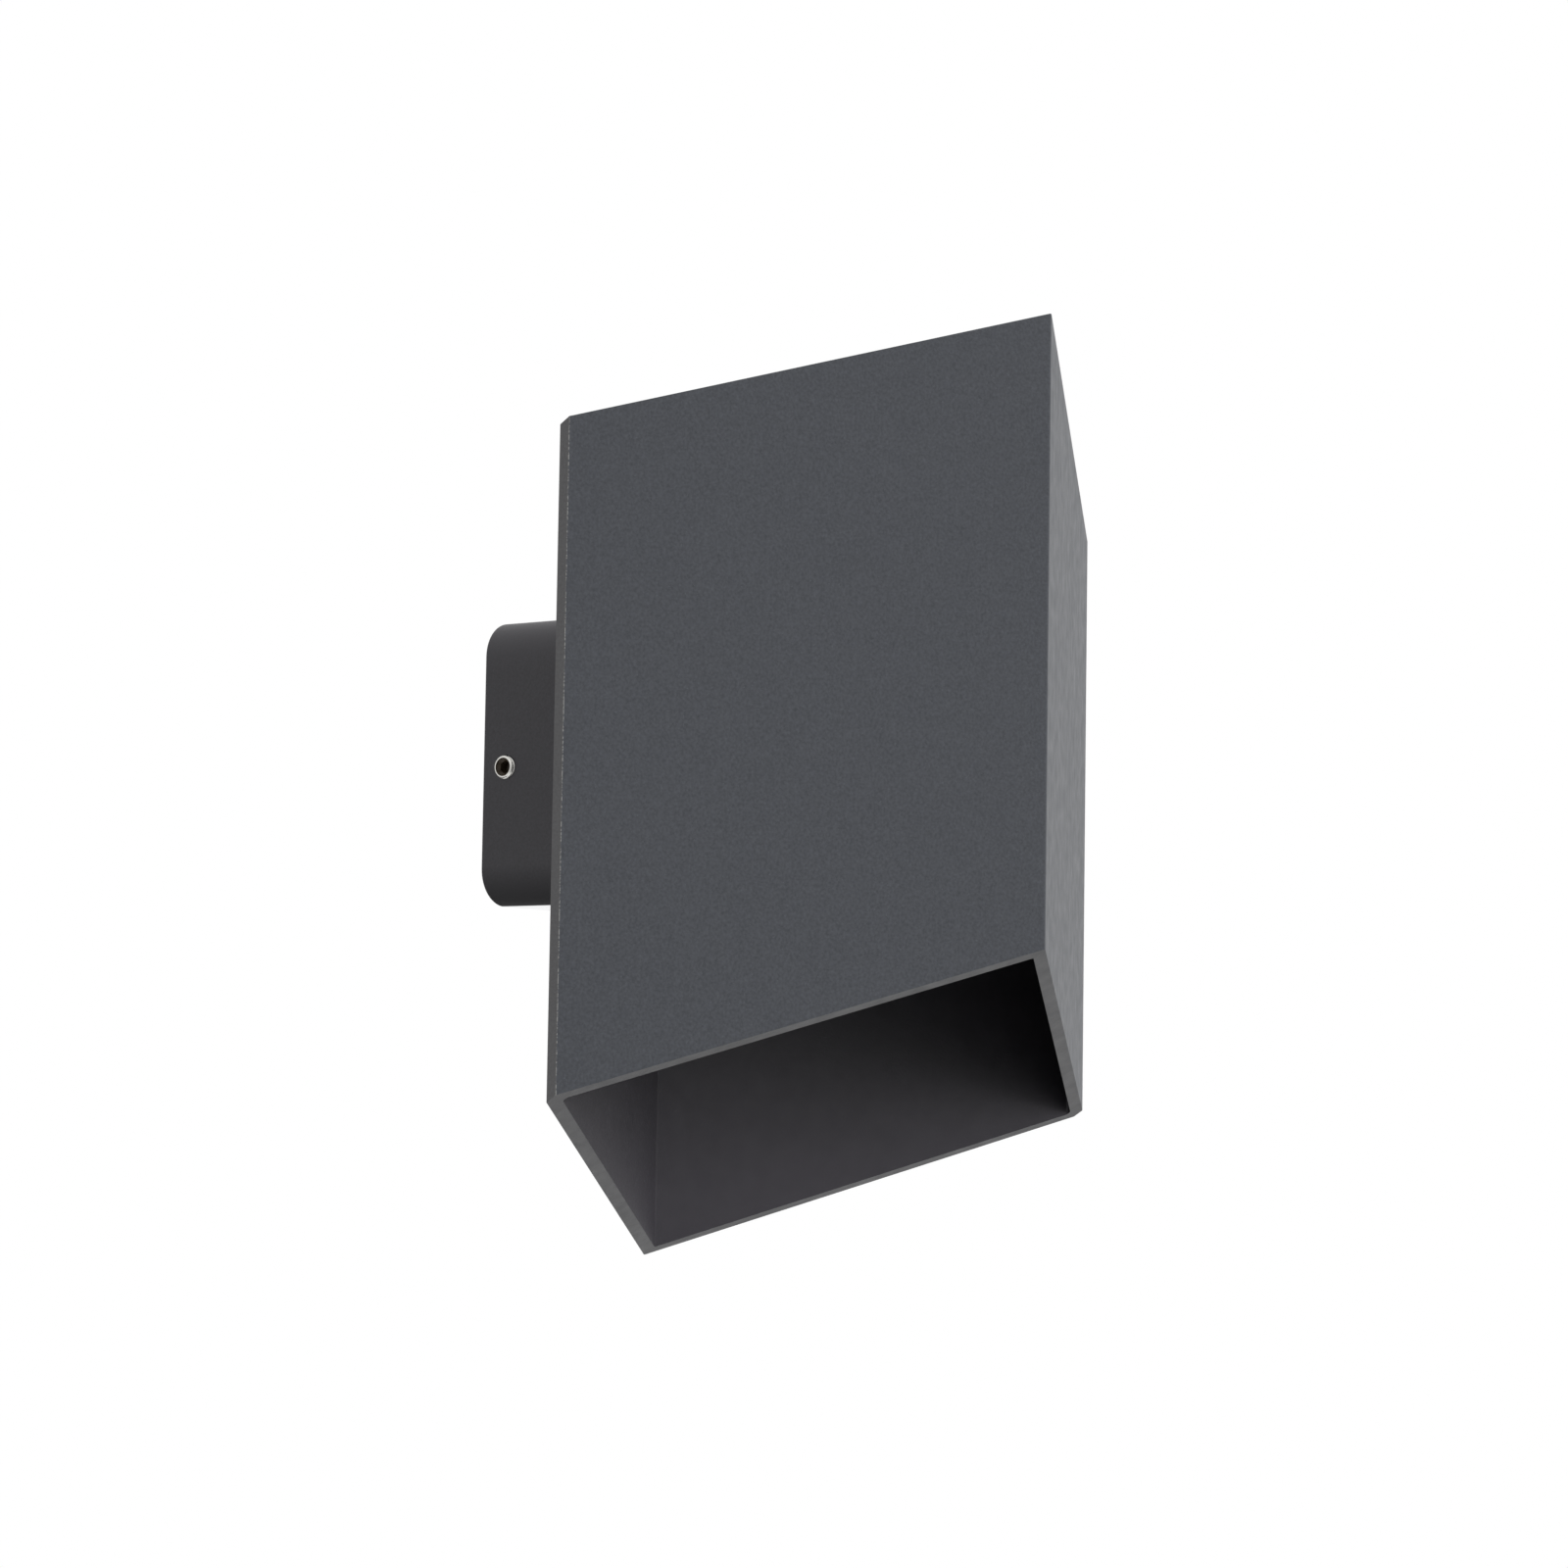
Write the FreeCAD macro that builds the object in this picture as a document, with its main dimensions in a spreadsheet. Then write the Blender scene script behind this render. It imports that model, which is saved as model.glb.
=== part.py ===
import FreeCAD, Part
import os
import re
import Sketcher

# Up/down wall light: a diamond-section tube, cut on a slant at both ends, on a small mount box.
# Row frame: origin on the wall at the centre of the bracket, +Z up, +Y into the wall.
# Lamp frame: the same directions, with its origin on the axis of the tube at mid height.

SIZES = {
    # tube
    "body_width": "150",        # across the side corners, before they are flattened
    "body_height": "150",       # lowest corner to highest corner
    "side_angle": "54.8",       # section angle at each side corner, in degrees
    "cut_angle": "32.5",        # slant of both end cuts, in degrees
    "wall": "1.9",
    "corner_flat": "1.7",        # flat on each sharp side corner
    "ridge_round": "0.8",
    "inner_round": "0.6",       # inside the four corners of the tube
    # mount box
    "cover_width": "51.6",
    "cover_height": "47",
    "cover_corner": "6",
    "cover_wall": "2.5",
    "standoff": "15.2",         # wall to the rear ridge of the tube
    "mount_rise": "5.5",        # centre of the mount above the middle of the tube
    "boss_thick": "2",
    "boss_reach": "4.3",
    "boss_bevel": "1.5",
    # grub screws in the sides of the mount box
    "grub_size": "4",
    "grub_length": "6",
    "grub_proud": "0.6",
    "grub_from_wall": "4.5",
    "grub_drop": "1",           # below the middle of the mount box
    "grub_socket": "2",
    "grub_socket_depth": "2.4",
    "grub_bevel": "0.3",
    "grub_mouth_size": "2.8",   # mouth of the sunk cone in front of the socket
    "grub_mouth_depth": "0.5",
    "grub_point_length": "0.8",
    "grub_rim_size": "2.6",     # ring of the cup point that bites on the bracket
    "grub_cup_size": "2",
    "grub_cup_depth": "0.6",
    "tip_gap": "0.1",
    "running_gap": "0.05",
    # wall bracket
    "plate_thick": "1.5",
    "bracket_from_rim": "5",     # end of the bracket behind the rim of the cover
    "plate_inset": "2",         # plate edge behind the outer face of its ears
    "ear_depth": "9",
    "ear_height": "16",
    "bend_radius": "0.5",
    "bend_share": "0.9",        # of the plate's thickness, in the outer radius of a bend
    "slot_width": "4.3",
    "slot_length": "8",
    "slot_from_end": "6",
    "seal_thick": "1",
    "seal_width": "2",
    "seal_corner": "1.2",
    "loose_gap": "0.3",
    # cable inlet
    "entry_from_ear": "11",
    "entry_hole_size": "11",
    "entry_bore_size": "6",
    "entry_flange_size": "13",
    "entry_nose_size": "8.6",
    "entry_nose_reach": "5",
    "entry_flange_thick": "1.2",
    "entry_lead_in": "0.7",
    "entry_clear": "1",         # between the grommet and the earth washer
    # earth terminal
    "earth_from_ear": "9",
    "earth_from_end": "6.5",
    "earth_size": "4",
    "washer_width": "9",
    "washer_thick": "0.8",
    "earth_head": "7",
    "earth_socket": "2.5",
    # terminal block
    "pole_pitch": "6",
    "block_length": "12",
    "block_deep": "10",
    "block_from_ear": "9.5",
    "clamp_size": "4.4",
    "clamp_bore_size": "3",
    "clamp_length": "10.5",
    "clamp_up": "4",
    "well_size": "3.9",
    "well_offset": "3.2",
    "well_sunk": "0.3",         # foot of a well below the top of its brass sleeve
    "peg_size": "4",
    "pole_groove": "1",
    "groove_deep": "2",
    "clamp_screw_size": "2",
    "clamp_screw_length": "1.4",
    "clamp_screw_socket": "1",
    # lamp carrier inside the tube
    "carrier_height": "36",
    "carrier_gap": "0.1",
    "carrier_from_corner": "9",
    "rim_wall": "3",
    "ledge_width": "3",
    "web_thick": "3",
    "window_from_corner": "25",
    "glass_thick": "3",
    "glass_gap": "0.2",
    "gasket_thick": "1",
    "gasket_width": "2.5",
    "frame_thick": "1.5",
    "frame_from_corner": "11",
    "screw_from_corner": "18",
    "frame_screw_length": "8",
    "web_hole_size": "5",
    "web_hole_gap": "4",        # centre of the lead hole beyond the edge of the board
    # light sources
    "board_margin": "1",        # edge of the board inside the rim of the bowl
    "board_thick": "1.6",
    "board_screw_edge": "4",
    "chip_size": "14",
    "chip_thick": "1.2",
    "chip_rim": "1",
    "chip_sunk": "0.5",         # face of the phosphor below its rim
    "bowl_bottom_size": "16.4",
    "bowl_margin": "2.5",       # rim of the bowl inside the wall of the recess
    "sheet_thick": "1",
    "bowl_wall": "1.6",
    "driver_gap": "1.5",
    "driver_width": "14",
    "driver_height": "8.5",
    "driver_round": "1",
    # fasteners that tie the cover, tube and carrier together
    "tie_size": "3",
    "tie_length": "10",
    "tie_from_wall": "5.8",
    "tie_spread": "7",
    "tie_head": "5.6",
    "tie_socket": "2",
    "clearance_gap": "0.2",     # round a screw that passes through without a thread
    "bush_reach": "9",
    "bush_size": "8",
    "bush_bore_size": "5",
    "bush_flange_size": "11",
    "bush_flange_thick": "1.5",
    "bush_edge_thick": "0.9",
    "bush_crown_size": "9.4",
    # shape of every screw, as shares of its own sizes
    "tip_share": "0.3",         # bevel at the tip, of half the diameter
    "head_share": "0.6",        # height of a pan head, of the diameter
    "edge_share": "0.5",        # upright edge of a pan head, of its height
    "crown_share": "0.75",      # flat top of a pan head, of its width
    "socket_share": "0.7",      # depth of a socket, of the height of the head
    "rim_land": "0.2",          # upright rim of a countersunk head
}

DERIVED = {
    "half_width": "body_width / 2",
    "half_depth": "half_width * tan(side_angle / 2)",
    "rise": "half_depth * tan(cut_angle)",
    "half_edge": "body_height / 2 - rise",
    "lamp_y": "-standoff - half_depth",
    "lamp_z": "-mount_rise",
    "half_carrier": "carrier_height / 2",
    "glass_base": "half_carrier - running_gap - glass_thick",
    "ledge_z": "glass_base - gasket_thick",
    "seat_inset": "wall + carrier_gap + rim_wall",
    "board_z": "web_thick / 2",
    "chip_z": "board_z + board_thick",
    "ear_face": "cover_width / 2 + grub_proud - grub_length - tip_gap",
    "cavity_width": "cover_width - 2 * cover_wall",
    "cavity_height": "cover_height - 2 * cover_wall",
    "cavity_corner": "cover_corner - cover_wall",
    "bracket_height": "cover_height - 2 * bracket_from_rim",
    "slot_pitch": "bracket_height - 2 * slot_from_end",
    "entry_offset": "ear_face - entry_from_ear",
    "earth_across": "ear_face - earth_from_ear",
    "earth_up": "bracket_height / 2 - earth_from_end",
    "entry_up": "earth_up - washer_width / 2 - entry_clear - entry_flange_size / 2",
    "block_across": "ear_face - block_from_ear",
    "tie_reach": "(cavity_width / 2 - tie_from_wall) / cos(side_angle / 2)",
    "carrier_reach": "half_width - carrier_from_corner",
    "window_reach": "half_width - window_from_corner",
    "frame_reach": "half_width - frame_from_corner",
    "frame_screw_reach": "half_width - screw_from_corner",
    "recess_inset": "seat_inset + ledge_width",
    "bowl_top": "2 * (half_depth * cos(side_angle / 2) - recess_inset - bowl_margin)",
    "board_size": "bowl_top - 2 * board_margin",
    "board_screw_reach": "board_size / 2 - board_screw_edge",
    "web_hole_reach": "board_size / 2 + web_hole_gap",
    "driver_start": "board_size / 2 + driver_gap",
    "driver_room": "half_width - recess_inset / sin(side_angle / 2)",
    "driver_end": "driver_room - driver_width / 2 / tan(side_angle / 2) - driver_gap",
    "driver_length": "driver_end - driver_start",
}

OVERCUT = "5"    # how far a cut runs past the piece it cuts, in millimetres

FACING_ROOM = FreeCAD.Rotation(FreeCAD.Vector(1, 0, 0), 90)
UPRIGHT = FreeCAD.Rotation()
UPSIDE_DOWN = FreeCAD.Rotation(FreeCAD.Vector(1, 0, 0), 180)

doc = FreeCAD.newDocument("wall_light")
sheet = doc.addObject("Spreadsheet::Sheet", "Sizes")
nodes = []


def fill_sheet():
    """Writes each driving size beside its name, and gives its cell that name."""
    for row, (name, text) in enumerate(SIZES.items(), start=1):
        sheet.set(f"A{row}", name)
        sheet.set(f"B{row}", text)
        sheet.setAlias(f"B{row}", name)
    doc.recompute()


def size(text):
    """The full expression for a text that names sheet sizes and derived sizes."""
    def spell(match):
        word = match.group(0)
        if word in DERIVED:
            return f"({size(DERIVED[word])})"
        return f"Sizes.{word}" if word in SIZES else word
    return re.sub(r"[a-z_]{2,}", spell, text)


def number(text):
    """The present value of a size text."""
    return float(sheet.evalExpression(size(text)))


# ---- sketches ----

def new_body(label):
    return doc.addObject("PartDesign::Body", label)


def sketch_on(body, role, name, offset="0"):
    """A sketch on one of the body's own origin planes, moved along the plane's normal."""
    sketch = body.newObject("Sketcher::SketchObject", f"{body.Label}_{name}")
    plane = next(item for item in body.Origin.OriginFeatures if item.Role == role)
    sketch.AttachmentSupport = [(plane, "")]
    sketch.MapMode = "FlatFace"
    sketch.setExpression("AttachmentOffset.Base.z", size(offset))
    return sketch


def sketch_on_wing(body, name, side, ridge_y, inward):
    """A sketch parallel to one rear face of the tube: side is 1 for the +X face and -1 for the
    -X face, ridge_y the place of the rear ridge in this body, inward the depth behind the face.
    Its x runs along the face from the ridge, towards +X on both faces, and its y runs up."""
    sketch = sketch_on(body, "XZ_Plane", name, f"cos(side_angle / 2) * ({inward}) - ({ridge_y})")
    turn = FreeCAD.Rotation(FreeCAD.Vector(0, 1, 0), -side * number("side_angle / 2"))
    sketch.AttachmentOffset = FreeCAD.Placement(sketch.AttachmentOffset.Base, turn)
    sketch.setExpression("AttachmentOffset.Base.x", size(f"-{side} * sin(side_angle / 2) * ({inward})"))
    return sketch


def pin(sketch, geometry, point, x, y):
    """Fixes one point of the sketch at the sizes x and y."""
    for kind, text in (("DistanceX", x), ("DistanceY", y)):
        constraint = Sketcher.Constraint(kind, -1, 1, geometry, point, number(text))
        index = sketch.addConstraint(constraint)
        sketch.setExpression(f"Constraints[{index}]", size(text))


def add_outline(sketch, corners):
    """A closed straight-sided outline through the corners, each a pair of size texts."""
    points = [FreeCAD.Vector(number(x), number(y), 0) for x, y in corners]
    first = sketch.GeometryCount
    count = len(points)
    for i in range(count):
        sketch.addGeometry(Part.LineSegment(points[i], points[(i + 1) % count]))
    for i in range(count):
        link = Sketcher.Constraint("Coincident", first + i, 2, first + (i + 1) % count, 1)
        sketch.addConstraint(link)
    for i, (x, y) in enumerate(corners):
        pin(sketch, first + i, 1, x, y)


def add_circle(sketch, x, y, diameter):
    centre = FreeCAD.Vector(number(x), number(y), 0)
    radius = number(f"({diameter}) / 2")
    circle = sketch.addGeometry(Part.Circle(centre, FreeCAD.Vector(0, 0, 1), radius))
    pin(sketch, circle, 3, x, y)
    index = sketch.addConstraint(Sketcher.Constraint("Radius", circle, radius))
    sketch.setExpression(f"Constraints[{index}]", size(f"({diameter}) / 2"))


def add_box_outline(sketch, x, y, width, height):
    """A rectangle centred on x, y."""
    low_x, high_x = f"{x} - ({width}) / 2", f"{x} + ({width}) / 2"
    low_y, high_y = f"{y} - ({height}) / 2", f"{y} + ({height}) / 2"
    add_outline(sketch, [(low_x, low_y), (high_x, low_y), (high_x, high_y), (low_x, high_y)])


def add_slot(sketch, x, y, width, length):
    """An upright slot centred on x, y, with half-round ends."""
    reach = f"(({length}) - ({width})) / 2"
    ends = [(f"{x} + ({width}) / 2", f"{y} + {reach}"), (f"{x} - ({width}) / 2", f"{y} + {reach}"),
            (f"{x} - ({width}) / 2", f"{y} - {reach}"), (f"{x} + ({width}) / 2", f"{y} - {reach}")]
    points = [FreeCAD.Vector(number(a), number(b), 0) for a, b in ends]
    crown = FreeCAD.Vector(number(x), number(f"{y} + ({length}) / 2"), 0)
    foot = FreeCAD.Vector(number(x), number(f"{y} - ({length}) / 2"), 0)
    top = sketch.addGeometry(Part.Arc(points[0], crown, points[1]))
    left = sketch.addGeometry(Part.LineSegment(points[1], points[2]))
    bottom = sketch.addGeometry(Part.Arc(points[2], foot, points[3]))
    right = sketch.addGeometry(Part.LineSegment(points[3], points[0]))
    for before, after in ((top, left), (left, bottom), (bottom, right), (right, top)):
        sketch.addConstraint(Sketcher.Constraint("Coincident", before, 2, after, 1))
    for line, (a, b) in ((left, (1, 2)), (right, (3, 0))):
        pin(sketch, line, 1, *ends[a])
        pin(sketch, line, 2, *ends[b])
    for arc, text in ((top, f"{y} + {reach}"), (bottom, f"{y} - {reach}")):
        index = sketch.addConstraint(Sketcher.Constraint("DistanceY", -1, 1, arc, 3, number(text)))
        sketch.setExpression(f"Constraints[{index}]", size(text))


def diamond(inset, reach):
    """Corners of the tube's section, drawn in by inset and cut off square at x = reach."""
    tip = f"(half_width - ({inset}) / sin(side_angle / 2))"
    shoulder = f"({tip} - ({reach})) * tan(side_angle / 2)"
    crest = f"{tip} * tan(side_angle / 2)"
    return [(reach, shoulder), ("0", crest), (f"-({reach})", shoulder),
            (f"-({reach})", f"-({shoulder})"), ("0", f"-{crest}"), (reach, f"-({shoulder})")]


def hexagon(across_flats):
    """Corners of a hexagon about the origin, two of its flats upright."""
    half = f"({across_flats}) / 2"
    corner = f"({across_flats}) / sqrt(3)"
    side = f"({across_flats}) / sqrt(12)"
    return [("0", corner), (f"-{half}", side), (f"-{half}", f"-{side}"),
            ("0", f"-{corner}"), (half, f"-{side}"), (half, side)]


# ---- features ----

def pad(body, sketch, length, symmetric=False):
    """Adds the sketch's outline along its normal, or half to each side of it."""
    feature = body.newObject("PartDesign::Pad", f"{sketch.Label}_pad")
    feature.Profile = sketch
    feature.setExpression("Length", size(length))
    feature.SideType = "Symmetric" if symmetric else "One side"
    doc.recompute()
    return feature


def pocket(body, sketch, length=None, forward=False, symmetric=False):
    """Cuts the sketch's outline against its normal, forward along it, or right through."""
    volume = body.Shape.Volume
    feature = body.newObject("PartDesign::Pocket", f"{sketch.Label}_cut")
    feature.Profile = sketch
    if length is None:
        feature.Type = "ThroughAll"
    else:
        feature.setExpression("Length", size(length))
    feature.SideType = "Symmetric" if symmetric else "One side"
    feature.Reversed = forward
    doc.recompute()
    if body.Shape.Volume >= volume:
        raise RuntimeError(f"{feature.Label} removes nothing")
    return feature


def revolve(body, name, profile):
    """Turns a closed profile of (radius, z) corners about the body's Z axis."""
    sketch = sketch_on(body, "XZ_Plane", name)
    add_outline(sketch, profile)
    feature = body.newObject("PartDesign::Revolution", f"{sketch.Label}_turn")
    feature.Profile = sketch
    feature.ReferenceAxis = (sketch, ["V_Axis"])
    feature.Angle = 360
    doc.recompute()
    return feature


def upright_edges(shape, accept):
    """Names of the straight edges along Z whose mid point is accepted."""
    names = []
    for index, edge in enumerate(shape.Edges, start=1):
        run = edge.Vertexes[-1].Point - edge.Vertexes[0].Point
        level = abs(run.x) < 1e-6 and abs(run.y) < 1e-6 and abs(run.z) > 1e-6
        if level and accept((edge.Vertexes[-1].Point + edge.Vertexes[0].Point) / 2):
            names.append(f"Edge{index}")
    return names


def round_edges(body, accept, radius):
    """Fillets the accepted upright edges of the body."""
    base = body.Tip
    names = upright_edges(base.Shape, accept)
    if not names:
        raise RuntimeError(f"{body.Label} has no edge to round")
    feature = body.newObject("PartDesign::Fillet", f"{base.Label}_round")
    feature.Base = (base, names)
    feature.setExpression("Radius", size(radius))
    doc.recompute()
    return feature


def place(item, x, y, z, rotation=UPRIGHT):
    """Puts an object at sizes x, y, z of the row frame."""
    item.Placement = FreeCAD.Placement(FreeCAD.Vector(number(x), number(y), number(z)), rotation)
    for axis, text in (("x", x), ("y", y), ("z", z)):
        item.setExpression(f"Placement.Base.{axis}", size(text))


def place_in_lamp(item, upper=True):
    """Puts an object made in the lamp frame in the tube, or its lower twin turned over."""
    place(item, "0", "lamp_y", "lamp_z", UPRIGHT if upper else UPSIDE_DOWN)


def keep(item):
    """Marks a finished piece as a node of the assembly."""
    nodes.append(item)
    return item


def group(label, items):
    """One node that holds several separate pieces of the same kind."""
    compound = doc.addObject("Part::Compound", label)
    compound.Links = items
    return keep(compound)


# ---- fasteners ----

def pan_screw(label, diameter, length, head, socket):
    """A pan-head hex-socket screw: its head stands on z = 0 and its shank points down."""
    body = new_body(label)
    height = f"head_share * ({diameter})"
    shank, rim = f"({diameter}) / 2", f"({head}) / 2"
    point = f"-({length})"
    revolve(body, "profile", [
        ("0", point), (f"(1 - tip_share) * {shank}", point), (shank, f"{point} + tip_share * {shank}"),
        (shank, "0"), (rim, "0"), (rim, f"edge_share * {height}"), (f"crown_share * {rim}", height),
        ("0", height)])
    sketch = sketch_on(body, "XY_Plane", "socket", height)
    add_outline(sketch, hexagon(socket))
    pocket(body, sketch, f"socket_share * {height}")
    return body


def countersunk_screw(label, diameter, length, socket):
    """A countersunk hex-socket screw: the top of its head lies on z = 0."""
    body = new_body(label)
    shank, point = f"({diameter}) / 2", f"-({length})"
    rim = f"(2 * {shank} - rim_land)"
    revolve(body, "profile", [
        ("0", point), (f"(1 - tip_share) * {shank}", point), (shank, f"{point} + tip_share * {shank}"),
        (shank, f"-{shank}"), (rim, "-rim_land"), (rim, "0"), ("0", "0")])
    sketch = sketch_on(body, "XY_Plane", "socket")
    add_outline(sketch, hexagon(socket))
    pocket(body, sketch, f"socket_share * {shank}")
    return body


def grub_screw(label, side):
    """A hollow grub screw in one side of the mount box; its outer end stands a little proud."""
    body = new_body(label)
    radius = "(grub_size / 2 - running_gap)"
    revolve(body, "profile", [
        ("0", "grub_cup_depth - grub_length"), ("grub_cup_size / 2", "-grub_length"),
        ("grub_rim_size / 2", "-grub_length"), (radius, "grub_point_length - grub_length"),
        (radius, "-grub_bevel"), (f"{radius} - grub_bevel", "0"), ("grub_mouth_size / 2", "0"),
        ("grub_socket / 2", "-grub_mouth_depth"), ("0", "-grub_mouth_depth")])
    sketch = sketch_on(body, "XY_Plane", "socket")
    add_outline(sketch, hexagon("grub_socket"))
    pocket(body, sketch, "grub_socket_depth")
    turn = FreeCAD.Rotation(FreeCAD.Vector(0, 1, 0), 90 * side)
    place(body, f"{side} * (cover_width / 2 + grub_proud)", "-grub_from_wall", "-grub_drop", turn)
    return keep(body)


# ---- tube and mount box ----

def diamond_tube():
    """The body: a diamond-section tube whose two ends are cut on one slant, highest in front."""
    body = new_body("diamond_tube")
    section = sketch_on(body, "XY_Plane", "section")
    add_outline(section, diamond("0", "half_width - corner_flat / 2 / tan(side_angle / 2)"))
    tip = "(half_width - wall / sin(side_angle / 2))"
    crest = f"{tip} * tan(side_angle / 2)"
    add_outline(section, [(tip, "0"), ("0", crest), (f"-{tip}", "0"), ("0", f"-{crest}")])
    pad(body, section, "body_height", symmetric=True)
    ridge, inner_ridge, inner_side = number("half_depth"), number(crest), number(tip)
    round_edges(body, lambda point: abs(abs(point.y) - ridge) < 1e-3, "ridge_round")
    round_edges(body, lambda point: abs(abs(point.y) - inner_ridge) < 1e-3
                or abs(abs(point.x) - inner_side) < 1e-3, "inner_round")
    past = f"(half_depth + {OVERCUT})"
    slope = f"{past} * tan(cut_angle)"
    ends = sketch_on(body, "YZ_Plane", "ends")
    add_outline(ends, [(f"-{past}", f"half_edge + {slope}"), (past, f"half_edge - {slope}"),
                       (past, f"half_edge + {slope}")])
    add_outline(ends, [(past, f"-half_edge - {slope}"), (f"-{past}", f"-half_edge + {slope}"),
                       (f"-{past}", f"-half_edge - {slope}")])
    pocket(body, ends, symmetric=True)
    for side, name in ((1, "right"), (-1, "left")):
        holes = sketch_on_wing(body, f"{name}_holes", side, "half_depth", "wall + wall / 2")
        add_tie_holes(holes, side, "tie_size + 2 * clearance_gap", "0")
        if side < 0:
            add_circle(holes, "-bush_reach", "tie_spread", "bush_size")
        pocket(body, holes, "2 * wall")
    place_in_lamp(body)
    return keep(body)


def add_tie_holes(sketch, side, diameter, middle):
    """The two tie-screw holes of one rear face, above and below the given height."""
    for level in (-1, 1):
        add_circle(sketch, f"{side} * tie_reach", f"{middle} + {level} * tie_spread", diameter)


def add_round_box(sketch, width, height, corner):
    """A rectangle about the origin with round corners."""
    half_x, half_y = f"({width}) / 2", f"({height}) / 2"
    flat_x, flat_y = f"({half_x} - ({corner}))", f"({half_y} - ({corner}))"
    bend = f"({corner}) * (1 - cos(45))"
    near_x, near_y = f"({half_x} - {bend})", f"({half_y} - {bend})"
    quarters = [("", ""), ("-", ""), ("-", "-"), ("", "-")]
    arcs = []
    for i, (sx, sy) in enumerate(quarters):
        on_side, on_top = (f"{sx}{half_x}", f"{sy}{flat_y}"), (f"{sx}{flat_x}", f"{sy}{half_y}")
        start, end = (on_side, on_top) if i % 2 == 0 else (on_top, on_side)
        spots = [start, (f"{sx}{near_x}", f"{sy}{near_y}"), end]
        points = [FreeCAD.Vector(number(a), number(b), 0) for a, b in spots]
        arcs.append((sketch.addGeometry(Part.Arc(*points)), start, end, f"{sx}{flat_x}", points))
    for i, (arc, start, end, middle, points) in enumerate(arcs):
        following = arcs[(i + 1) % 4]
        line = sketch.addGeometry(Part.LineSegment(points[2], following[4][0]))
        sketch.addConstraint(Sketcher.Constraint("Coincident", arc, 2, line, 1))
        sketch.addConstraint(Sketcher.Constraint("Coincident", line, 2, following[0], 1))
        pin(sketch, arc, 1, *start)
        pin(sketch, arc, 2, *end)
        index = sketch.addConstraint(
            Sketcher.Constraint("DistanceX", -1, 1, arc, 3, number(middle)))
        sketch.setExpression(f"Constraints[{index}]", size(middle))


def mount_cover():
    """The mount box: a thin shell, open at the wall, whose front is a V that seats the rear
    corner of the tube. Inner bosses carry the threads of the two grub screws."""
    body = new_body("mount_cover")
    side_depth = "standoff + cover_width / 2 * tan(side_angle / 2)"
    outline = sketch_on(body, "XZ_Plane", "outline")
    add_round_box(outline, "cover_width", "cover_height", "cover_corner")
    pad(body, outline, side_depth)
    saddle = sketch_on(body, "XY_Plane", "saddle")
    past, deep = f"(cover_width / 2 + {OVERCUT})", "(half_depth + standoff)"
    flank = f"-standoff - {past} * tan(side_angle / 2)"
    add_outline(saddle, [("0", "-standoff"), (f"-{past}", flank), (f"-{past}", f"{flank} - {deep}"),
                         (past, f"{flank} - {deep}"), (past, flank)])
    pocket(body, saddle, symmetric=True)
    shell(body, "cover_wall")
    for side, name in ((1, "right"), (-1, "left")):
        boss = sketch_on(body, "YZ_Plane", f"{name}_boss",
                         f"{side} * (cover_width / 2 - cover_wall / 2)")
        add_grub_boss(boss)
        feature = pad(body, boss, "boss_thick + cover_wall / 2")
        feature.Reversed = side > 0
        doc.recompute()
    threads = sketch_on(body, "YZ_Plane", "threads")
    add_circle(threads, "-grub_from_wall", "-grub_drop", "grub_size")
    pocket(body, threads, symmetric=True)
    for side, name in ((1, "right"), (-1, "left")):
        holes = sketch_on_wing(body, f"{name}_holes", side, "-standoff", "wall / 2")
        add_tie_holes(holes, side, "tie_size + 2 * clearance_gap", "lamp_z")
        if side < 0:
            add_circle(holes, "-bush_reach", "lamp_z + tie_spread", "bush_size")
        pocket(body, holes, "cover_wall + wall")
    return keep(body)


def shell(body, thickness):
    """Hollows the body to a wall of even thickness, open at its flat face on the wall."""
    base = body.Tip
    back = [f"Face{i}" for i, face in enumerate(base.Shape.Faces, start=1)
            if abs(face.CenterOfMass.y) < 1e-6]
    feature = body.newObject("PartDesign::Thickness", f"{body.Label}_shell")
    feature.Base = (base, back)
    feature.Reversed = True
    feature.Mode = "Skin"
    feature.Join = "Intersection"
    feature.setExpression("Value", size(thickness))
    doc.recompute()
    return feature


def add_grub_boss(sketch):
    """Outline of a thread boss, cut off flat where the wall seal passes it."""
    near = "-seal_thick - loose_gap"
    far = "-grub_from_wall - boss_reach"
    low, high = "(-grub_drop - boss_reach)", "(boss_reach - grub_drop)"
    add_outline(sketch, [
        (near, f"{low} - boss_bevel"), (near, f"{high} + boss_bevel"),
        (f"{far} + boss_bevel", f"{high} + boss_bevel"), (far, high), (far, low),
        (f"{far} + boss_bevel", f"{low} - boss_bevel")])


def tie_screws():
    """Four screws from inside the mount box, through the tube and into the lamp carrier."""
    screws = []
    for side in (-1, 1):
        for level in (-1, 1):
            screw = pan_screw(f"tie_screw_{len(screws) + 1}", "tie_size", "tie_length",
                              "tie_head", "tie_socket")
            put_on_wing(screw, side, f"{side} * tie_reach", f"lamp_z + {level} * tie_spread")
            screws.append(screw)
    return group("tie_screws", screws)


def put_on_wing(item, side, along, up):
    """Stands an object on the inner face of the cover's V, its Z axis square to that face."""
    half = "(side_angle / 2)"
    x = f"cos{half} * ({along}) + {side} * sin{half} * cover_wall"
    y = f"-standoff - {side} * sin{half} * ({along}) + cos{half} * cover_wall"
    normal = FreeCAD.Vector(side * number(f"sin{half}"), number(f"cos{half}"), 0)
    place(item, x, y, up, FreeCAD.Rotation(FreeCAD.Vector(0, 0, 1), normal))


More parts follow.
